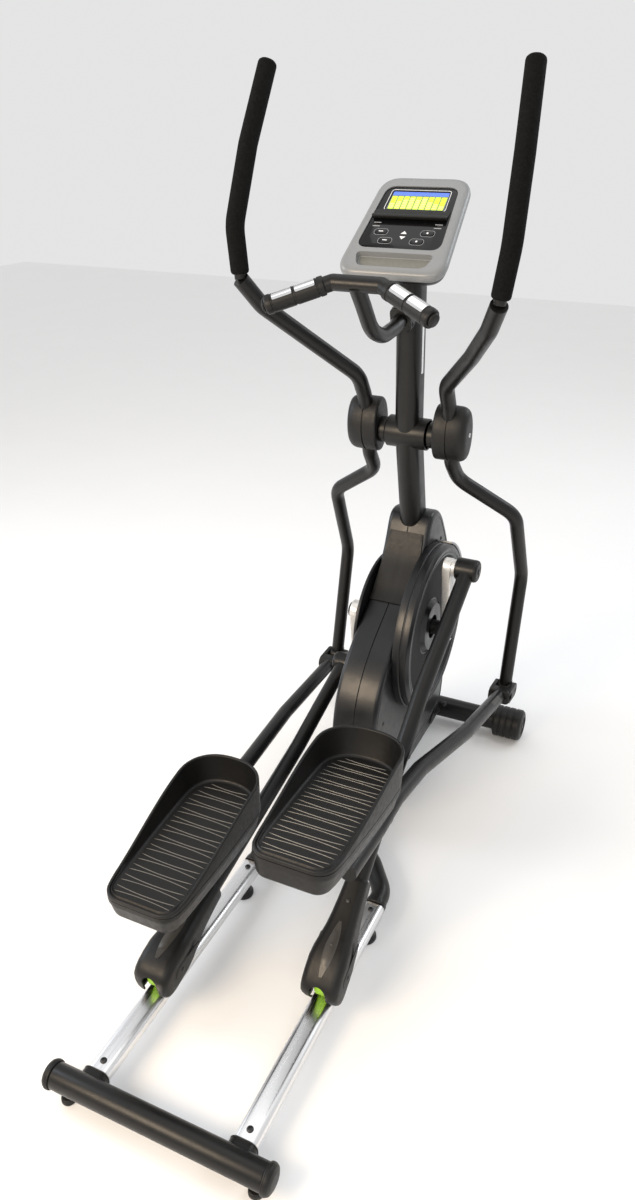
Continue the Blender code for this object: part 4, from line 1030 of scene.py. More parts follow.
def build_console():
    """Silver rim, gloss panel, display, keys, reading ledge and back shell."""
    rim = console_outline(0.098, 0.116, -0.14, 0.138, 0.045)
    panel = console_outline(0.078, 0.09, -0.072, 0.106, 0.024)
    tray = console_outline(0.084, 0.072, -0.122, -0.084, 0.014)
    bezel = Piece("console_rim")
    soft = [(-0.016, 0.004), (-0.014, 0.0018), (-0.012, 0.0006), (-0.01, 0.0), (-0.005, 0.0002), (-0.001, 0.0012),
            (0.0015, 0.0028), (0.0035, 0.0052), (0.0049, 0.008), (0.0057, 0.0105), (0.006, 0.0135)]
    body = slab(rim, *soft)
    body = cut(body, slab(inset(panel, -0.0003), (-0.004, 0.0), (0.02, 0.0)),
               slab(tray, (-0.006, 0.005), (-0.0045, 0.0025), (0.004, 0.0004), (0.02, -0.004)))
    bezel.add(body, "silver_plastic")
    bezel.add(slab(inset(tray, 0.0032), (-0.007, 0.0), (-0.0054, 0.0)), "tray_grey")
    bezel.place("frame", "silver_plastic", ("console_bezel",), 30.0)

    glass = Piece("console_face")
    window = console_outline(0.062, 0.064, 0.04, 0.094, 0.004, 5)
    keys = [(-0.05, -0.026), (0.05, -0.026), (-0.034, -0.05), (0.034, -0.05)]
    face = slab(panel, (-0.0037, 0.0), (0.003, 0.0), (0.0041, 0.0005), (0.0045, 0.0014))
    holes = [slab(key_shape(cx, cs, 0.0004), (-0.0005, 0.0), (0.02, 0.0)) for cx, cs in keys]
    glass.add(cut(face, slab(window, (0.0005, 0.0), (0.02, 0.0)), *holes), "gloss_black")
    glass.add(outline_ring(inset(window, -0.003), 0.0011, 0.0043, 0.0047), "print_white")
    for cx, cs in keys:
        glass.add(outline_ring(key_shape(cx, cs, 0.0022), 0.0008, 0.0043, 0.0047), "print_grey")
    for cs, way in ((-0.026, 1), (-0.04, -1)):
        arrow = [(u, cs + way * v) for u, v in ((0.0065, -0.0035), (0.0, 0.0045), (-0.0065, -0.0035))][::way]
        glass.add(slab(arrow, (0.0043, 0.0), (0.0047, 0.0)), "print_white")
    for x in (-0.066, 0.066):
        for s in (0.0, -0.01):
            glass.add(tile(x - 0.008, x + 0.008, s - 0.0012, s + 0.0012, 0.0043, 0.0047, 0.0006), "print_grey")
    glass.place("frame", "gloss_black", ("console_panel",))

    screen = Piece("console_display")
    screen.add(slab(inset(window, 0.0004), (0.0008, 0.0), (0.0028, 0.0)), "screen_glass")
    screen.add(tile(-0.0605, 0.0605, 0.082, 0.0925, 0.0027, 0.0031), "display_blue")
    for i in range(9):
        x = -0.054 + i * 0.0135
        screen.add(tile(x - 0.0058, x + 0.0058, 0.0425, 0.0795, 0.0027, 0.0031), "display_lime")
        high = (3, 4, 5, 6, 5, 6, 4, 3, 2)[i]
        for k in range(high):
            s = 0.045 + k * 0.0052
            screen.add(tile(x - 0.0046, x + 0.0046, s, s + 0.0036, 0.0031, 0.0033, 0.0004), "display_pale")
    screen.place("frame", "screen", ("console_screen",))

    for i, (cx, cs) in enumerate(keys):
        key = Piece("console_button_%d" % (i + 1))
        key.add(slab(key_shape(cx, cs, 0.0), (0.0012, 0.0), (0.005, 0.0), (0.0057, 0.0003), (0.006, 0.0011)),
                "gloss_black")
        mark = rounded(0.01, 0.0022, 0.001, 3) if i % 2 == 0 else rounded(0.0045, 0.0045, 0.0022, 3)
        key.add(slab([(cx + u, cs + v) for u, v in mark], (0.0058, 0.0), (0.0062, 0.0)), "print_white")
        key.place("key_%d" % (i + 1), "gloss_black", ("console_key_%d" % (i + 1),))

    ledge = Piece("console_reading_ledge")
    section = ((0.036, 0.005), (0.02, 0.005), (0.014, 0.005), (0.01, 0.0055), (0.0078, 0.007),
               (0.0066, 0.0105), (0.006, 0.015), (0.0068, 0.0164), (0.0085, 0.0168), (0.0105, 0.0166),
               (0.013, 0.016), (0.014, 0.015), (0.0146, 0.011), (0.016, 0.009), (0.0185, 0.0084),
               (0.026, 0.0076), (0.036, 0.007))
    loops = []
    for x, k in ((-0.08, 0.82), (-0.0795, 0.95), (-0.078, 1.0), (-0.04, 1.0), (0.0, 1.0), (0.04, 1.0),
                 (0.078, 1.0), (0.0795, 0.95), (0.08, 0.82)):
        loops.append([console_point(x, 0.02 + (s - 0.02) * k, 0.0085 + (h - 0.0085) * k) for s, h in section])
    ledge.add(loft(loops), "moulded_black")
    ledge.place("frame", "black_plastic", ("console_ledge",))

    shell = Piece("console_back_shell")
    levels = [(-0.07, 0.5, 0.46), (-0.0695, 0.56, 0.53), (-0.067, 0.62, 0.595), (-0.06, 0.7, 0.68),
              (-0.05, 0.79, 0.78), (-0.038, 0.88, 0.88), (-0.028, 0.925, 0.93), (-0.022, 0.945, 0.952),
              (-0.0215, 0.938, 0.945), (-0.0195, 0.938, 0.945), (-0.019, 0.948, 0.957), (-0.0163, 0.955, 0.965)]
    shell.add(loft([[console_point(x * kx, (t + 0.002) * ks, h) for x, t in rim] for h, kx, ks in levels]),
              "moulded_black")
    spots = [(console_point(x, s, -0.0672), (0, 0.588, -0.809), 0.2)
             for x, s in ((-0.04, 0.045), (0.04, 0.045))]
    shell.add(copies(screw_pattern(0.0045, 0.002, "cross"), spots), "black_bolt")
    shell.place("frame", "black_plastic", ("console_back",), 30.0)


def key_shape(cx, cs, grow):
    """Outline of a key, made larger all round by grow."""
    return [(cx + u, cs + v) for u, v in rounded(0.026 + 2 * grow, 0.013 + 2 * grow, 0.005 + grow, 6)]


# ---------------------------------------------------------------- fixed handlebar
def build_handlebar():
    """Cross bar, its neck to the mast and the two pulse grips."""
    bar = Piece("fixed_handlebar")
    bar.add(tube([(-0.17, 0.8, 1.297), (-0.049, 0.851, 1.341), (0.049, 0.851, 1.341), (0.17, 0.8, 1.297)],
                 0.0125, 0.045))
    d = (Vector((0.17, 0.8, 1.297)) - Vector((0.049, 0.851, 1.341))).normalized() * 0.0145
    bar.add(tube([(-0.049 - d.x, 0.851 + d.y, 1.341 + d.z), (-0.049, 0.851, 1.341), (0.049, 0.851, 1.341),
                  (0.049 + d.x, 0.851 + d.y, 1.341 + d.z)], 0.0155, 0.012))
    bar.add(tube([(0, 0.846, 1.34), (0, 0.88, 1.3), (0, 0.925, 1.243), (0, 0.985, 1.221),
                  (0, 1.05, 1.226), (0, 1.112, 1.2434)], 0.0156, 0.1, 12))
    bar.add(sweep([(0, 1.0822, 1.2351), (0, 1.1115, 1.2434)], rounded(0.046, 0.052, 0.012), ease=0.002))
    spots = [((s * 0.0228, 1.098, 1.24 + dz), (s, 0, 0), 0.2) for _, s in SIDES for dz in (-0.014, 0.014)]
    bar.add(copies(screw_pattern(0.0048, 0.0022), spots), "black_bolt")
    bar.place("frame", "frame_paint", ("handlebar",))
    for name, s in SIDES:
        a = Vector((0.049, 0.851, 1.341))
        b = Vector((0.17, 0.8, 1.297))
        d = (b - a).normalized()
        start = a + d * 0.016
        grip = Piece("pulse_grip_cover_" + name, s < 0, "moulded_black")
        profile = [(0.0, 0.0128), (0.0, 0.016), (0.001, 0.018), (0.004, 0.0185), (0.011, 0.0185),
                   (0.012, 0.0172), (0.0135, 0.0172), (0.0145, 0.018), (0.056, 0.018), (0.0565, 0.017),
                   (0.06, 0.017), (0.0605, 0.018), (0.102, 0.018), (0.103, 0.0172), (0.1045, 0.0172),
                   (0.1055, 0.0185), (0.113, 0.0185), (0.116, 0.0178), (0.1175, 0.016), (0.1175, 0.0128)]
        grip.add(along(profile, start, d))
        for lo, hi in ((0.016, 0.055), (0.0615, 0.1005)):
            grip.add(contact_plate(start + d * lo, d, hi - lo), "chrome")
        grip.add(along([(-0.006, 0.0), (-0.006, 0.012), (-0.003, 0.015), (0.0008, 0.0156), (0.0008, 0.0)],
                       start, d))
        tip = [(0.0, 0.0), (0.0, 0.0135), (0.003, 0.015), (0.008, 0.013), (0.011, 0.008), (0.0118, 0.0)]
        grip.add(along([(x * 0.55, r * 0.9) for x, r in tip], a + d * 0.1345, d))
        grip.place("frame", "black_plastic", ("pulse_grip_" + name,))


def across_of(direction):
    """Level and upward directions square to a line in space."""
    side = direction.cross(Vector((0, 0, 1))).normalized()
    return side, side.cross(direction)


def along(profile, start, direction):
    """Turn (distance, r) points about a line in space."""
    n = 48
    side, up = across_of(direction)
    bm = bmesh.new()
    rings = []
    for x, r in profile:
        c = start + direction * x
        if r <= 1e-7:
            rings.append([bm.verts.new(c)])
        else:
            rings.append([bm.verts.new(c + side * u + up * v) for u, v in circle(r, n)])
    return skin_rings(bm, rings, n)


def contact_plate(start, direction, length):
    """Curved metal plate over the upper half of a grip."""
    side, up = across_of(direction)
    loops = []
    for x, k in ((0.0, 0.9), (0.0006, 0.97), (0.0025, 1.0), (length - 0.0025, 1.0), (length - 0.0006, 0.97),
                 (length, 0.9)):
        c = start + direction * x
        ring = []
        for reach, way in ((0.01838, 1), (0.0174, -1)):
            for i in range(25):
                t = math.radians(way * (-64 * k + 128 * k * i / 24))
                ring.append(c + (side * math.sin(t) + up * math.cos(t)) * reach)
        loops.append(ring)
    return loft(loops)


# ---------------------------------------------------------------- crank
def build_crank():
    """Crank arms and what turns with them; the parts inside the shroud keep the frame's own solids."""
    for name, s in SIDES:
        pin = Vector(crank_pin(s))
        base = Vector(AXLE)
        d = (pin - base).normalized()
        arm = Piece("crank_lever_" + name, s < 0, "silver_paint")
        outer = hull_outline([(*base, 0.027), (*(base + d * 0.1), 0.0235), (*pin, 0.0215)])
        arm.add(plate(outer, 0.113, 0.135, 0.004, 5))
        raised = hull_outline([(*(base + d * 0.03), 0.015), (*(pin - d * 0.03), 0.012)])
        arm.add(plate(raised, 0.1345, 0.1356, 0.0008, 3))
        arm.add(rod(0.13, 0.1432, pin, 0.0195, 0.0016, 64))
        arm.add(turned([(0.13, 0.0), (0.13, 0.019), (0.1402, 0.019), (0.142, 0.0165), (0.142, 0.0)],
                       AXLE, 64, 0.0008), "moulded_black")
        arm.place("crank", "crank_paint", ("crank_arm_" + name,))
    shaft = Piece("crank_shaft")
    shaft.add(rod(-0.1127, 0.1127, AXLE, 0.0125, 0.0006, 64), "plated_steel")
    for _, s in SIDES:
        shaft.add(turned([(s * 0.056, 0.0), (s * 0.056, 0.02), (s * 0.09, 0.0185), (s * 0.112, 0.0185),
                          (s * 0.112, 0.0)], AXLE, 64, 0.001), "moulded_black")
    shaft.place("crank", "steel", ("crank_axle",))
    for node, finish in (("drive_pulley", "moulded_black"), ("flywheel", "plated_steel"),
                         ("drive_belt", "moulded_black")):
        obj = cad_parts[node]
        obj.data.materials.clear()
        obj.data.materials.append(finish_of(finish))


# ---------------------------------------------------------------- swing arms
def build_swing_arm(name, s):
    """Bent lever with its sleeves, foam grip and hub cover."""
    body = "swing_" + name
    size = sizes()
    upper = [(x, *swing_yz(s, r, a)) for x, r, a in UPPER]
    lower = [(x, *swing_yz(s, r, a)) for x, r, a in LOWER]
    p = pedal_frame(s)[0]
    arm = Piece("swing_lever_" + name, s < 0)
    arm.add(tube(upper[:6], size.arm_radius, 0.08, 12))
    arm.add(tube(lower, size.arm_radius, 0.07, 12))
    arm.add(rod(0.05, 0.126, HUB, 0.0235, 0.0015))
    arm.add(turned([(0.05, 0.0236), (0.05, 0.028), (0.0514, 0.03), (0.0652, 0.03), (0.0664, 0.0288),
                    (0.0664, 0.0236)], HUB, 64, 0.0008, closed=True))
    arm.add(turned([(0.229, 0.0085), (0.229, 0.0205), (0.263, 0.0205), (0.263, 0.0085)], tuple(p), 64, 0.0012,
                   closed=True))
    spine = rounded_path(upper[5:], 0.1, 8)
    arm.add(sweep(spine, circle(0.012, 24), ease=0.002))
    t = (Vector(lower[-1]) - Vector(lower[-2])).normalized()
    weld = Vector((0.246, *p)) - t * 0.0215
    arm.add(sweep([weld - t * 0.003, weld, weld + t * 0.003], lambda f: circle(0.0182 - 0.001 * abs(2 * f - 1), 36)))
    arm.place(body, "frame_paint", ("swing_arm_" + name,))

    foam = Piece("foam_sleeve_" + name, s < 0)
    # the sleeve follows the lever's last bend, swelling a little over the tube's end
    path = [spine[0].lerp(spine[1], 0.12)] + spine[1:]
    tip = Vector(upper[-1])
    way = (tip - Vector(upper[-2])).normalized()
    full = path + [tip + way * 0.014]
    dense = [full[0]]
    for a, b in zip(full[:-1], full[1:]):
        parts = max(1, int((b - a).length / 0.012))
        dense += [a.lerp(b, (k + 1) / parts) for k in range(parts)]
    r = size.foam_radius
    foam.add(sweep(dense, lambda f: circle(r * (0.975 + 0.02 * math.sin(math.pi * f)), 40), ease=0.007), "foam")
    sleeve = foam.place(body, "foam", ("foam_grip_" + name,), 60.0)

    cover = Piece("hub_shell_" + name, s < 0)
    oval = [(HUB[0] + u - 0.002, HUB[1] + v + 0.012) for u, v in ellipse(0.043, 0.064, 72)]
    levels = [(0.067, 0.007), (0.0674, 0.0045), (0.0685, 0.002), (0.071, 0.0003), (0.074, 0.0), (0.0992, 0.0),
              (0.0998, 0.0022), (0.1022, 0.0022), (0.1028, 0.0), (0.124, 0.0006), (0.131, 0.0022),
              (0.1365, 0.0052), (0.1405, 0.0095), (0.143, 0.015), (0.144, 0.0215), (0.1442, 0.03)]
    cover.add(stack([(x, inset(oval, d)) for x, d in levels]), "moulded_black")
    spots = [((0.1438, HUB[0] - 0.002, HUB[1] + 0.012), (1, 0, 0), 0.3),
             ((0.1395, HUB[0] - 0.003, HUB[1] - 0.033), (0.93, -0.05, -0.36), 0.3, (0.8, 0.8, 0.8))]
    cover.add(copies(screw_pattern(0.0052, 0.0024, "cross"), spots), "plated_steel")
    cover.place(body, "black_plastic", ("hub_cover_" + name,), 28.0)


# ---------------------------------------------------------------- pedals
def underside(a):
    """Height of a foot plate's underside over the bar at a."""
    return 0.053 + 0.017 * (PEDAL_REAR - a) / (PEDAL_REAR - PEDAL_FRONT)


def build_pedal(name, s):
    """Bar with its clevis, link lug and saddle blocks, and the ribbed foot plate on it."""
    body = "pedal_bar_" + name
    p, e, up, q = pedal_frame(s)
    bar = Piece("pedal_bar_tube_" + name, s < 0)
    bar.add(tube([on_bar(s, 0.055, 0.0, 0.246), on_bar(s, 0.349, 0.022, 0.236), on_bar(s, 0.605, 0.045, 0.208),
                  on_bar(s, 0.748, 0.047, 0.203), on_bar(s, 0.85, 0.03, 0.203), on_bar(s, 0.985, 0.022, 0.203)],
                 sizes().bar_radius, 0.1, 12))
    rear = p + e * 0.05
    for x0, x1 in ((0.217, 0.2284), (0.2636, 0.275)):
        bar.add(plate(hull_outline([(*p, 0.0195), (*rear, 0.0185)]), x0, x1, 0.002), "moulded_black")
    bar.add(sweep([on_bar(s, 0.036, 0, 0.246), on_bar(s, 0.068, 0, 0.246)], rounded(0.058, 0.037, 0.01),
                  ease=0.0025), "moulded_black")
    bar.add(rod(0.218, 0.274, tuple(p), 0.0079), "plated_steel")
    stripe = [on_bar(s, a, 0.075 * (a - 0.055), 0.246 - 0.034 * (a - 0.055)) for a in (0.105, 0.165)]
    mid = [Vector(v) for v in stripe]
    way = (mid[1] - mid[0]).normalized()
    across = way.cross(Vector((1, 0, 0))).normalized()
    across = across if across.z > 0 else -across
    band = []
    for k in range(9):
        c = mid[0].lerp(mid[1], k / 8)
        ring = []
        for reach, turn in ((0.01825, 1), (0.0176, -1)):
            for t in (-18, -9, 0, 9, 18)[::turn]:
                a = math.radians(t + 38)
                ring.append(c + (Vector((1, 0, 0)) * math.sin(a) + across * math.cos(a)) * reach)
        band.append(ring)
    bar.add(loft(band), "print_soft")
    above = Vector(on_bar(s, 0.748, 0.04, 0.2)[1:])
    bar.add(plate(hull_outline([(*q, 0.018), (*above, 0.024)]), 0.187, 0.199, 0.0018))
    bar.add(rod(0.144, 0.19, tuple(q), 0.0079), "plated_steel")
    for a0, a1, low in ((0.775, 0.805, 0.03), (0.93, 0.96, 0.02)):
        top = [underside(a) - 0.0004 for a in (a0, a1)]
        corners = ((a0, low), (a1, low), (a1, top[1]), (a0, top[0]))
        loops = [[on_bar(s, a + (0.0015 if k and a == a0 else -0.0015 if k else 0.0), h, x) for a, h in corners]
                 for x, k in ((0.15, 1), (0.1515, 0), (0.2105, 0), (0.212, 1))]
        bar.add(loft(loops))
    heads = [((x, *at), (way, 0, 0), 0.2) for x, at, way in ((0.272, p, 1), (0.217, p, -1), (0.199, q, 1))]
    bar.add(copies(hex_pattern(0.007, 0.003), heads), "black_bolt")
    bar.place(body, "frame_paint", ("pedal_arm_" + name,))

    sole = Piece("foot_plate_" + name, s < 0, "moulded_black")
    length = PEDAL_REAR - PEDAL_FRONT
    nose, heel = 0.085, 0.014
    half = [(PEDAL_W - 0.01 * (1 - i / 16) ** 2, heel + (length - nose - heel) * i / 16) for i in range(17)]
    for i in range(1, 29):
        t = math.pi / 2 * i / 28
        half.append((PEDAL_W * max(0.0, math.cos(t)) ** 0.86, length - nose + nose * math.sin(t) ** 0.86))
    turn_r = 0.036
    corner = [(PEDAL_W - 0.01 - turn_r + turn_r * math.sin(math.pi * k / 16),
               turn_r - turn_r * math.cos(math.pi * k / 16)) for k in range(8)]
    half = [v for v in half if v[1] > turn_r - 0.001]
    right = [((PEDAL_W - 0.01 - turn_r) * f / 8, 0.0) for f in range(1, 8)] + corner + half
    left = [(-x, y) for x, y in right[::-1][1:]]
    outline = right + left + [(0.0, 0.0)]

    def floor(f):
        return 0.106 + 0.02 * f

    def rim(f):
        k = min(1.0, max(0.0, (f - 0.02) / 0.85))
        return floor(f) + 0.0045 + 0.06 * (k * k * (3 - 2 * k))

    def under(f):
        return underside(PEDAL_REAR - f * length)

    def ring(d, base, lift):
        return [on_bar(s, PEDAL_REAR - t, base(t / length) + lift, PEDAL_X + x) for x, t in inset(outline, d)]

    steps = [(0.0215, under, 0.0), (0.0165, under, 0.0004), (0.0125, under, 0.002), (0.0098, under, 0.0048),
             (0.008, under, 0.0085), (0.002, floor, -0.019), (0.0004, floor, -0.015), (0.0, floor, -0.012),
             (0.0, floor, -0.0045), (0.0011, floor, -0.004), (0.0011, floor, -0.0028), (0.0, floor, -0.0022),
             (0.0, rim, -0.003), (0.0003, rim, -0.0014), (0.0011, rim, -0.0004), (0.0024, rim, 0.0),
             (0.0042, rim, 0.0), (0.0054, rim, -0.0005), (0.0061, rim, -0.0016), (0.0064, rim, -0.0032),
             (0.01, floor, 0.0055), (0.0115, floor, 0.0024), (0.014, floor, 0.0006), (0.0175, floor, 0.0)]
    sole.add(loft([ring(*step) for step in steps]))
    count = sizes().tread_ribs
    turn = Matrix(((1, 0, 0), (0, -e.x, up.x), (0, -e.y, up.y)))
    spots = []
    for i in range(count):
        t = 0.022 + (length - 0.052) * i / (count - 1)
        wide = PEDAL_W - 0.018
        if t > length - nose:
            wide = PEDAL_W * math.sqrt(max(0.05, 1 - ((t - length + nose) / nose) ** 2)) - 0.019
        base = on_bar(s, PEDAL_REAR - t, floor(t / length) - 0.0002, PEDAL_X)
        spots.append((base, turn, math.pi * (i % 2), (2 * wide - 0.01, 1, 1)))
    # the ribs are black plastic; their light grey colour is a painted highlight on their ridges
    sole.add(copies(tread_pattern(), spots), "moulded_rib")
    sole.place(body, "black_plastic", ("pedal_" + name,), 34.0)


def tread_pattern():
    """Wavy rib one metre wide, to be narrowed where it is placed."""
    loops = []
    for i in range(29):
        f = i / 28
        x = f - 0.5
        bow = 0.004 * (1 - (2 * x) ** 2)
        k = 0.35 + 0.65 * min(1.0, math.sin(math.pi * f) * 5)
        loops.append([(x, bow + 0.0013 * v * k, h * k) for v, h in
                      ((0.6, 0.0), (0.45, 0.0008), (0.2, 0.0012), (-0.2, 0.0012), (-0.45, 0.0008), (-0.6, 0.0))])
    return loft(loops)


# ---------------------------------------------------------------- roller links
def build_link(name, s):
    """Link from the crank to the rail with its guard, fork and roller."""
    body = "link_" + name
    crank = crank_pin(s)
    w, u, n = link_frame(s)
    q = pedal_frame(s)[3]
    link = Piece("link_tube_" + name, s < 0)
    link.add(turned([(0.1437, 0.0), (0.1437, 0.024), (0.145, 0.0262), (0.1475, 0.027), (0.19, 0.027),
                     (0.1945, 0.0258), (0.1975, 0.0225), (0.1985, 0.0185), (0.1985, 0.013), (0.197, 0.011),
                     (0.197, 0.0)], crank, 72, 0.0012))
    link.add(tube([on_link(s, LINK_LEN - 0.004, 0, 0.171), on_link(s, LINK_LEN - 0.16, 0.0, 0.164),
                   on_link(s, LINK_LEN - 0.32, 0.0, RAIL_X + 0.001), on_link(s, 0.062, 0, RAIL_X)],
                  sizes().link_radius, 0.3, 8))
    foot_a = w + u * (LUG_ALONG - 0.05)
    foot_b = w + u * (LUG_ALONG + 0.03)
    for x0, x1 in ((0.149, 0.153), (0.161, 0.165)):
        link.add(plate(hull_outline([(*q, 0.018), (*foot_a, 0.01), (*foot_b, 0.01)]), x0, x1, 0.0012))
    link.add(plate(hull_outline([(*q, 0.012), (*foot_a, 0.008), (*foot_b, 0.008)]), 0.15, 0.164, 0.001))
    link.add(turned([(0.1486, 0.0085), (0.1486, 0.0165), (0.1655, 0.0165), (0.1655, 0.0085)], tuple(q), 48, 0.0008,
                    closed=True))
    for x0, x1 in ((RAIL_X - 0.0225, RAIL_X - 0.017), (RAIL_X + 0.017, RAIL_X + 0.0225)):
        link.add(plate(hull_outline([(*w, 0.013), (*(w + u * 0.062), 0.015)]), x0, x1, 0.001))
    link.add(plate(hull_outline([(*(w + u * 0.0565), 0.0143), (*(w + u * 0.08), 0.0137)]), RAIL_X - 0.0212,
                   RAIL_X + 0.0212, 0.0012))
    link.add(rod(RAIL_X - 0.02, RAIL_X + 0.02, tuple(w), 0.0059), "plated_steel")
    heads = [((0.1968, *crank), (1, 0, 0), 0.2, (1.3, 1.3, 1))]
    heads += [((RAIL_X + k * 0.0222, *w), (k, 0, 0), 0.1) for k in (-1, 1)]
    link.add(copies(hex_pattern(0.0058, 0.0034), heads), "black_bolt")
    link.place(body, "frame_paint", ("roller_link_" + name,))

    guard = Piece("carriage_guard_" + name, s < 0, "moulded_black")
    guard.add(guard_shell(s))
    inset_shape = hull_outline([(*(w + u * 0.01), 0.019), (*(w + u * 0.075), 0.006)])
    for x0, x1 in ((RAIL_X + 0.0402, RAIL_X + 0.0418), (RAIL_X - 0.0402, RAIL_X - 0.0418)):
        guard.add(plate(inset_shape, x0, x1, 0.0008))
        spot = w + u * 0.014
        way = 1 if x1 > x0 else -1
        guard.add(copies(screw_pattern(0.0046, 0.0018, "cross"), [((x1, *spot), (way, 0, 0), 0.3)]),
                  "black_bolt")
    drop = []
    for i in range(25):
        f = i / 24
        a = -0.004 + 0.112 * f  # from just behind the roller to the neck
        crown = between(CREST, a)
        wide = 0.0115 * math.sin(math.pi * min(1.0, 0.06 + 0.9 * f)) ** 0.8 + 0.0006
        drop.append([on_link(s, a, crown + h, RAIL_X + k * wide) for k, h in
                     ((1.0, -0.003), (1.0, 0.0002), (0.85, 0.001), (-0.85, 0.001), (-1.0, 0.0002), (-1.0, -0.003))])
    guard.add(loft(drop), "print_soft")
    tops = [((RAIL_X, *(w + u * a + n * h)), (0, n.x, n.y), 0.3) for a, h in ((0.15, 0.029), (0.06, 0.0418))]
    guard.add(copies(screw_pattern(0.0044, 0.0018, "cross"), tops), "black_bolt")
    guard.place(body, "black_plastic", ("carriage_cover_" + name,), 30.0)

    wheel = Piece("rail_roller_" + name, s < 0)
    half = [(0.015, 0.0062), (0.015, 0.013), (0.0132, 0.015), (0.0118, 0.016), (0.0118, WHEEL_R - 0.0075),
            (0.013, WHEEL_R - 0.006), (0.013, WHEEL_R - 0.003), (0.011, WHEEL_R)]
    profile = [(RAIL_X - x, r) for x, r in half] + [(RAIL_X + x, r) for x, r in half[::-1]]
    wheel.add(turned(softened(profile + [profile[0]], 0.001)[:-1], tuple(w), 72, closed=True), "green_urethane")
    wheel.place("roller_" + name, "roller", ("roller_" + name,))


CREST = ((0.005, 0.0462), (0.03, 0.047), (0.05, 0.0446), (0.07, 0.04), (0.095, 0.0345), (0.12, 0.031))


def between(table, x):
    """Value at x on the line through the (x, value) points, carried straight on past both ends."""
    for (x0, v0), (x1, v1) in zip(table[:-1], table[1:]):
        if x < x1:
            break
    return v0 + (v1 - v0) * (x - x0) / (x1 - x0)


def guard_shell(s):
    """Moulded guard straddling the rail: a smooth loft, hollowed and opened below."""
    rows = [(-0.044, 0.027, -0.02, 0.008), (-0.043, 0.0325, -0.0245, 0.0155), (-0.0405, 0.037, -0.028, 0.023),
            (-0.036, 0.0398, -0.0308, 0.031), (-0.027, 0.0408, -0.0338, 0.038), (-0.015, 0.041, -0.036, 0.043),
            (0.005, 0.041, -0.036, 0.0462), (0.03, 0.041, -0.036, 0.047), (0.05, 0.0392, -0.0352, 0.0446),
            (0.07, 0.036, -0.034, 0.04), (0.095, 0.0318, -0.0312, 0.0345), (0.12, 0.029, -0.029, 0.031),
            (0.155, 0.0264, -0.0264, 0.0276), (0.19, 0.0245, -0.0245, 0.025), (0.197, 0.024, -0.024, 0.0245),
            (0.2, 0.0222, -0.0222, 0.0227)]

    def ring(a, wide, low, high):
        mid = (low + high) / 2
        shape = rounded(2 * wide, high - low, min(0.018, wide * 0.6, (high - low) * 0.48), 6)
        return [on_link(s, a, mid + v, RAIL_X + uu) for uu, v in shape]

    outer = loft([ring(*row) for row in rows])
    inner = [ring(-0.04, 0.03, -0.0265, 0.018)]
    for a, wide, low, high in rows[4:13]:
        side = max(wide - 0.0035 if a > 0.1 else wide - 0.0095, 0.02)
        inner.append(ring(a, side, min(low + 0.0035, -0.0196), max(high - 0.0035, 0.0196)))
    inner.append(ring(0.23, 0.0196, -0.0196, 0.0196))
    wy, wz = link_frame(s)[0]
    slot_cut = plate([(wy - 0.12, 0.0), (wy + 0.16, 0.0), (wy + 0.16, 0.066), (wy - 0.12, 0.066)],
                     RAIL_X - 0.0285, RAIL_X + 0.0285, 0.0)
    floor = plate([(wy - 0.2, -0.1), (wy + 0.2, -0.1), (wy + 0.2, 0.044), (wy - 0.2, 0.044)],
                  RAIL_X - 0.08, RAIL_X + 0.08, 0.0)
    room = rod(RAIL_X - 0.0245, RAIL_X + 0.0245, (wy, wz), WHEEL_R + 0.0035, 0.0, 40)
    arch = rounded(0.036, 0.09, 0.0175, 10)
    gate = loft([[(RAIL_X + x, wy + y, wz - 0.027 + z) for x, z in arch] for y in (-0.075, 0.01)])
    return cut(outer, loft(inner), slot_cut, floor, room, gate)


# ---------------------------------------------------------------- floor, light and camera
def build_stage():
    """Pale floor, soft light and the camera."""
    bm = bmesh.new()
    for x, y in ((-8, -8), (8, -8), (8, 8), (-8, 8)):
        bm.verts.new((x, y, -0.0005))
    bm.faces.new(bm.verts)
    floor = scratch(bm, "studio_floor")
    s = Shader("pale_floor", (0.9, 0.9, 0.9), 0.65)
    s.color_from(s.noise(3.0, 2.0), (0.895, 0.895, 0.895), (0.905, 0.905, 0.905))
    floor.data.materials.append(s.mat)
    world = bpy.data.worlds.new("studio_air")
    world.use_nodes = True
    world.node_tree.nodes["Background"].inputs["Color"].default_value = (1.0, 1.0, 1.0, 1.0)
    world.node_tree.nodes["Background"].inputs["Strength"].default_value = 0.78
    bpy.context.scene.view_settings.view_transform = "Standard"
    bpy.context.scene.world = world
    for name, spot, target, size, watts, color in (
            ("key_softbox", (1.3, -2.9, 2.3), (0.0, -0.1, 0.5), (1.7, 1.3), 24.0, (1.0, 0.95, 0.88)),
            ("warm_softbox", (-0.95, -2.3, 1.9), (0.0, 0.1, 0.5), (1.3, 1.1), 58.0, (1.0, 0.8, 0.58)),
            ("left_softbox", (-2.4, -0.6, 1.9), (0.0, 0.0, 0.6), (0.9, 1.6), 26.0, (0.8, 0.89, 1.0)),
            ("back_softbox", (1.9, 2.6, 2.6), (0.0, 0.3, 0.8), (1.6, 1.4), 22.0, (0.92, 0.96, 1.0)),
            ("top_softbox", (0.0, 0.3, 3.4), (0.0, 0.2, 0.0), (2.2, 2.2), 14.0, (1.0, 1.0, 1.0))):
        light = bpy.data.lights.new(name, "AREA")
        light.shape = "RECTANGLE"
        light.size, light.size_y = size
        light.energy = watts
        light.color = color
        lamp = bpy.data.objects.new(name, light)
        lamp.location = spot
        lamp.rotation_euler = (Vector(target) - Vector(spot)).to_track_quat("-Z", "Y").to_euler()
        bpy.context.scene.collection.objects.link(lamp)
    place_camera()


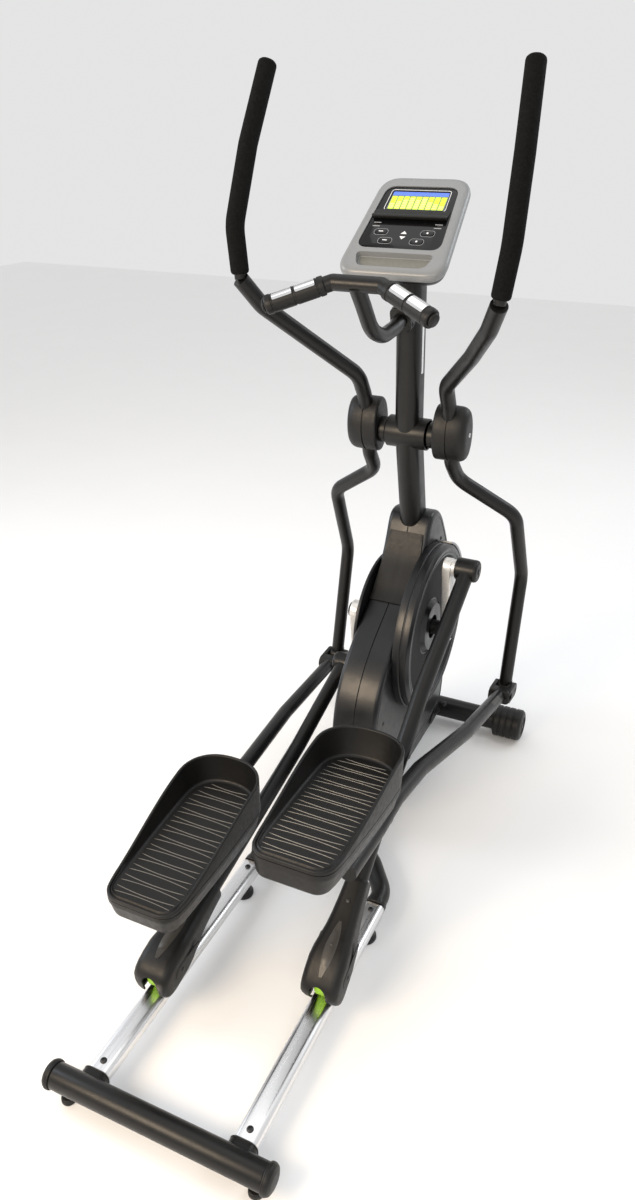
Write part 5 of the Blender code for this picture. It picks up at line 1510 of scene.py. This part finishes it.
def place_camera():
    """Camera beyond the rear end, to the right and above."""
    lens = bpy.data.cameras.new("studio_camera")
    lens.sensor_fit = "VERTICAL"
    lens.sensor_height = 36.0
    lens.lens = 27.159
    lens.shift_x = -0.0136
    turn, drop, roll = math.radians(24.67), math.radians(27.994), math.radians(-0.042)
    ahead = Vector((-math.sin(turn) * math.cos(drop), math.cos(turn) * math.cos(drop), -math.sin(drop)))
    right = Vector((math.cos(turn), math.sin(turn), 0.0))
    up = right.cross(ahead)
    side = right * math.cos(roll) + up * math.sin(roll)
    top = up * math.cos(roll) - right * math.sin(roll)
    camera = bpy.data.objects.new("studio_camera", lens)
    eye = (0.687814, -0.749703 - FOOTPRINT, 1.609131)
    camera.matrix_world = Matrix([(side[i], top[i], -ahead[i], eye[i]) for i in range(3)] + [(0, 0, 0, 1)])
    bpy.context.scene.collection.objects.link(camera)
    bpy.context.scene.camera = camera


# ---------------------------------------------------------------- operators
class TRAINER_OT_floor_frame(bpy.types.Operator):
    """Build the beam, rails, stabilisers and feet"""

    bl_idname = "trainer.floor_frame"
    bl_label = "Floor Frame"

    def execute(self, context):
        build_floor_frame()
        return {"FINISHED"}


class TRAINER_OT_mast(bpy.types.Operator):
    """Build the upright mast"""

    bl_idname = "trainer.mast"
    bl_label = "Mast"

    def execute(self, context):
        build_mast()
        return {"FINISHED"}


class TRAINER_OT_shroud(bpy.types.Operator):
    """Build the two shroud halves, discs, trims and saddle panel"""

    bl_idname = "trainer.shroud"
    bl_label = "Shroud"

    def execute(self, context):
        build_shroud()
        return {"FINISHED"}


class TRAINER_OT_console(bpy.types.Operator):
    """Build the console with its display and keys"""

    bl_idname = "trainer.console"
    bl_label = "Console"

    def execute(self, context):
        build_console()
        return {"FINISHED"}


class TRAINER_OT_handlebar(bpy.types.Operator):
    """Build the fixed handlebar and pulse grips"""

    bl_idname = "trainer.handlebar"
    bl_label = "Handlebar"

    def execute(self, context):
        build_handlebar()
        return {"FINISHED"}


class TRAINER_OT_crank(bpy.types.Operator):
    """Build the crank arms and shaft"""

    bl_idname = "trainer.crank"
    bl_label = "Crank"

    def execute(self, context):
        build_crank()
        return {"FINISHED"}


class TRAINER_OT_swing_arms(bpy.types.Operator):
    """Build both swing arms with foam grips and hub covers"""

    bl_idname = "trainer.swing_arms"
    bl_label = "Swing Arms"

    def execute(self, context):
        for name, s in SIDES:
            build_swing_arm(name, s)
        return {"FINISHED"}


class TRAINER_OT_pedals(bpy.types.Operator):
    """Build both pedal bars and foot plates"""

    bl_idname = "trainer.pedals"
    bl_label = "Pedals"

    def execute(self, context):
        for name, s in SIDES:
            build_pedal(name, s)
        return {"FINISHED"}


class TRAINER_OT_links(bpy.types.Operator):
    """Build both roller links with guards and rollers"""

    bl_idname = "trainer.links"
    bl_label = "Roller Links"

    def execute(self, context):
        for name, s in SIDES:
            build_link(name, s)
        return {"FINISHED"}


class TRAINER_OT_stage(bpy.types.Operator):
    """Set up the floor, lights and camera"""

    bl_idname = "trainer.stage"
    bl_label = "Stage"

    def execute(self, context):
        build_stage()
        return {"FINISHED"}


OPERATORS = (TRAINER_OT_floor_frame, TRAINER_OT_mast, TRAINER_OT_shroud, TRAINER_OT_console, TRAINER_OT_handlebar,
             TRAINER_OT_crank, TRAINER_OT_swing_arms, TRAINER_OT_pedals, TRAINER_OT_links, TRAINER_OT_stage)


class TRAINER_PT_panel(bpy.types.Panel):
    """Lists the pieces and their sizes and colours"""

    bl_label = "Elliptical Trainer"
    bl_idname = "TRAINER_PT_panel"
    bl_space_type = "VIEW_3D"
    bl_region_type = "UI"
    bl_category = "Trainer"

    def draw(self, context):
        for group in (context.scene.trainer_sizes, context.scene.trainer_colours):
            box = self.layout.box()
            for key in group.__annotations__:
                box.prop(group, key)
        for op in OPERATORS:
            self.layout.operator(op.bl_idname)


CLASSES = (TrainerSizes, TrainerColours) + OPERATORS + (TRAINER_PT_panel,)


def register():
    for cls in CLASSES:
        bpy.utils.register_class(cls)
    bpy.types.Scene.trainer_sizes = bpy.props.PointerProperty(type=TrainerSizes)
    bpy.types.Scene.trainer_colours = bpy.props.PointerProperty(type=TrainerColours)


def unregister():
    del bpy.types.Scene.trainer_colours
    del bpy.types.Scene.trainer_sizes
    for cls in reversed(CLASSES):
        bpy.utils.unregister_class(cls)


def main():
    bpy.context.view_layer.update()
    register()
    ops = bpy.ops.trainer
    ops.floor_frame()
    ops.mast()
    ops.shroud()
    ops.console()
    ops.handlebar()
    ops.crank()
    ops.swing_arms()
    ops.pedals()
    ops.links()
    ops.stage()


if __name__ == "__main__":
    main()
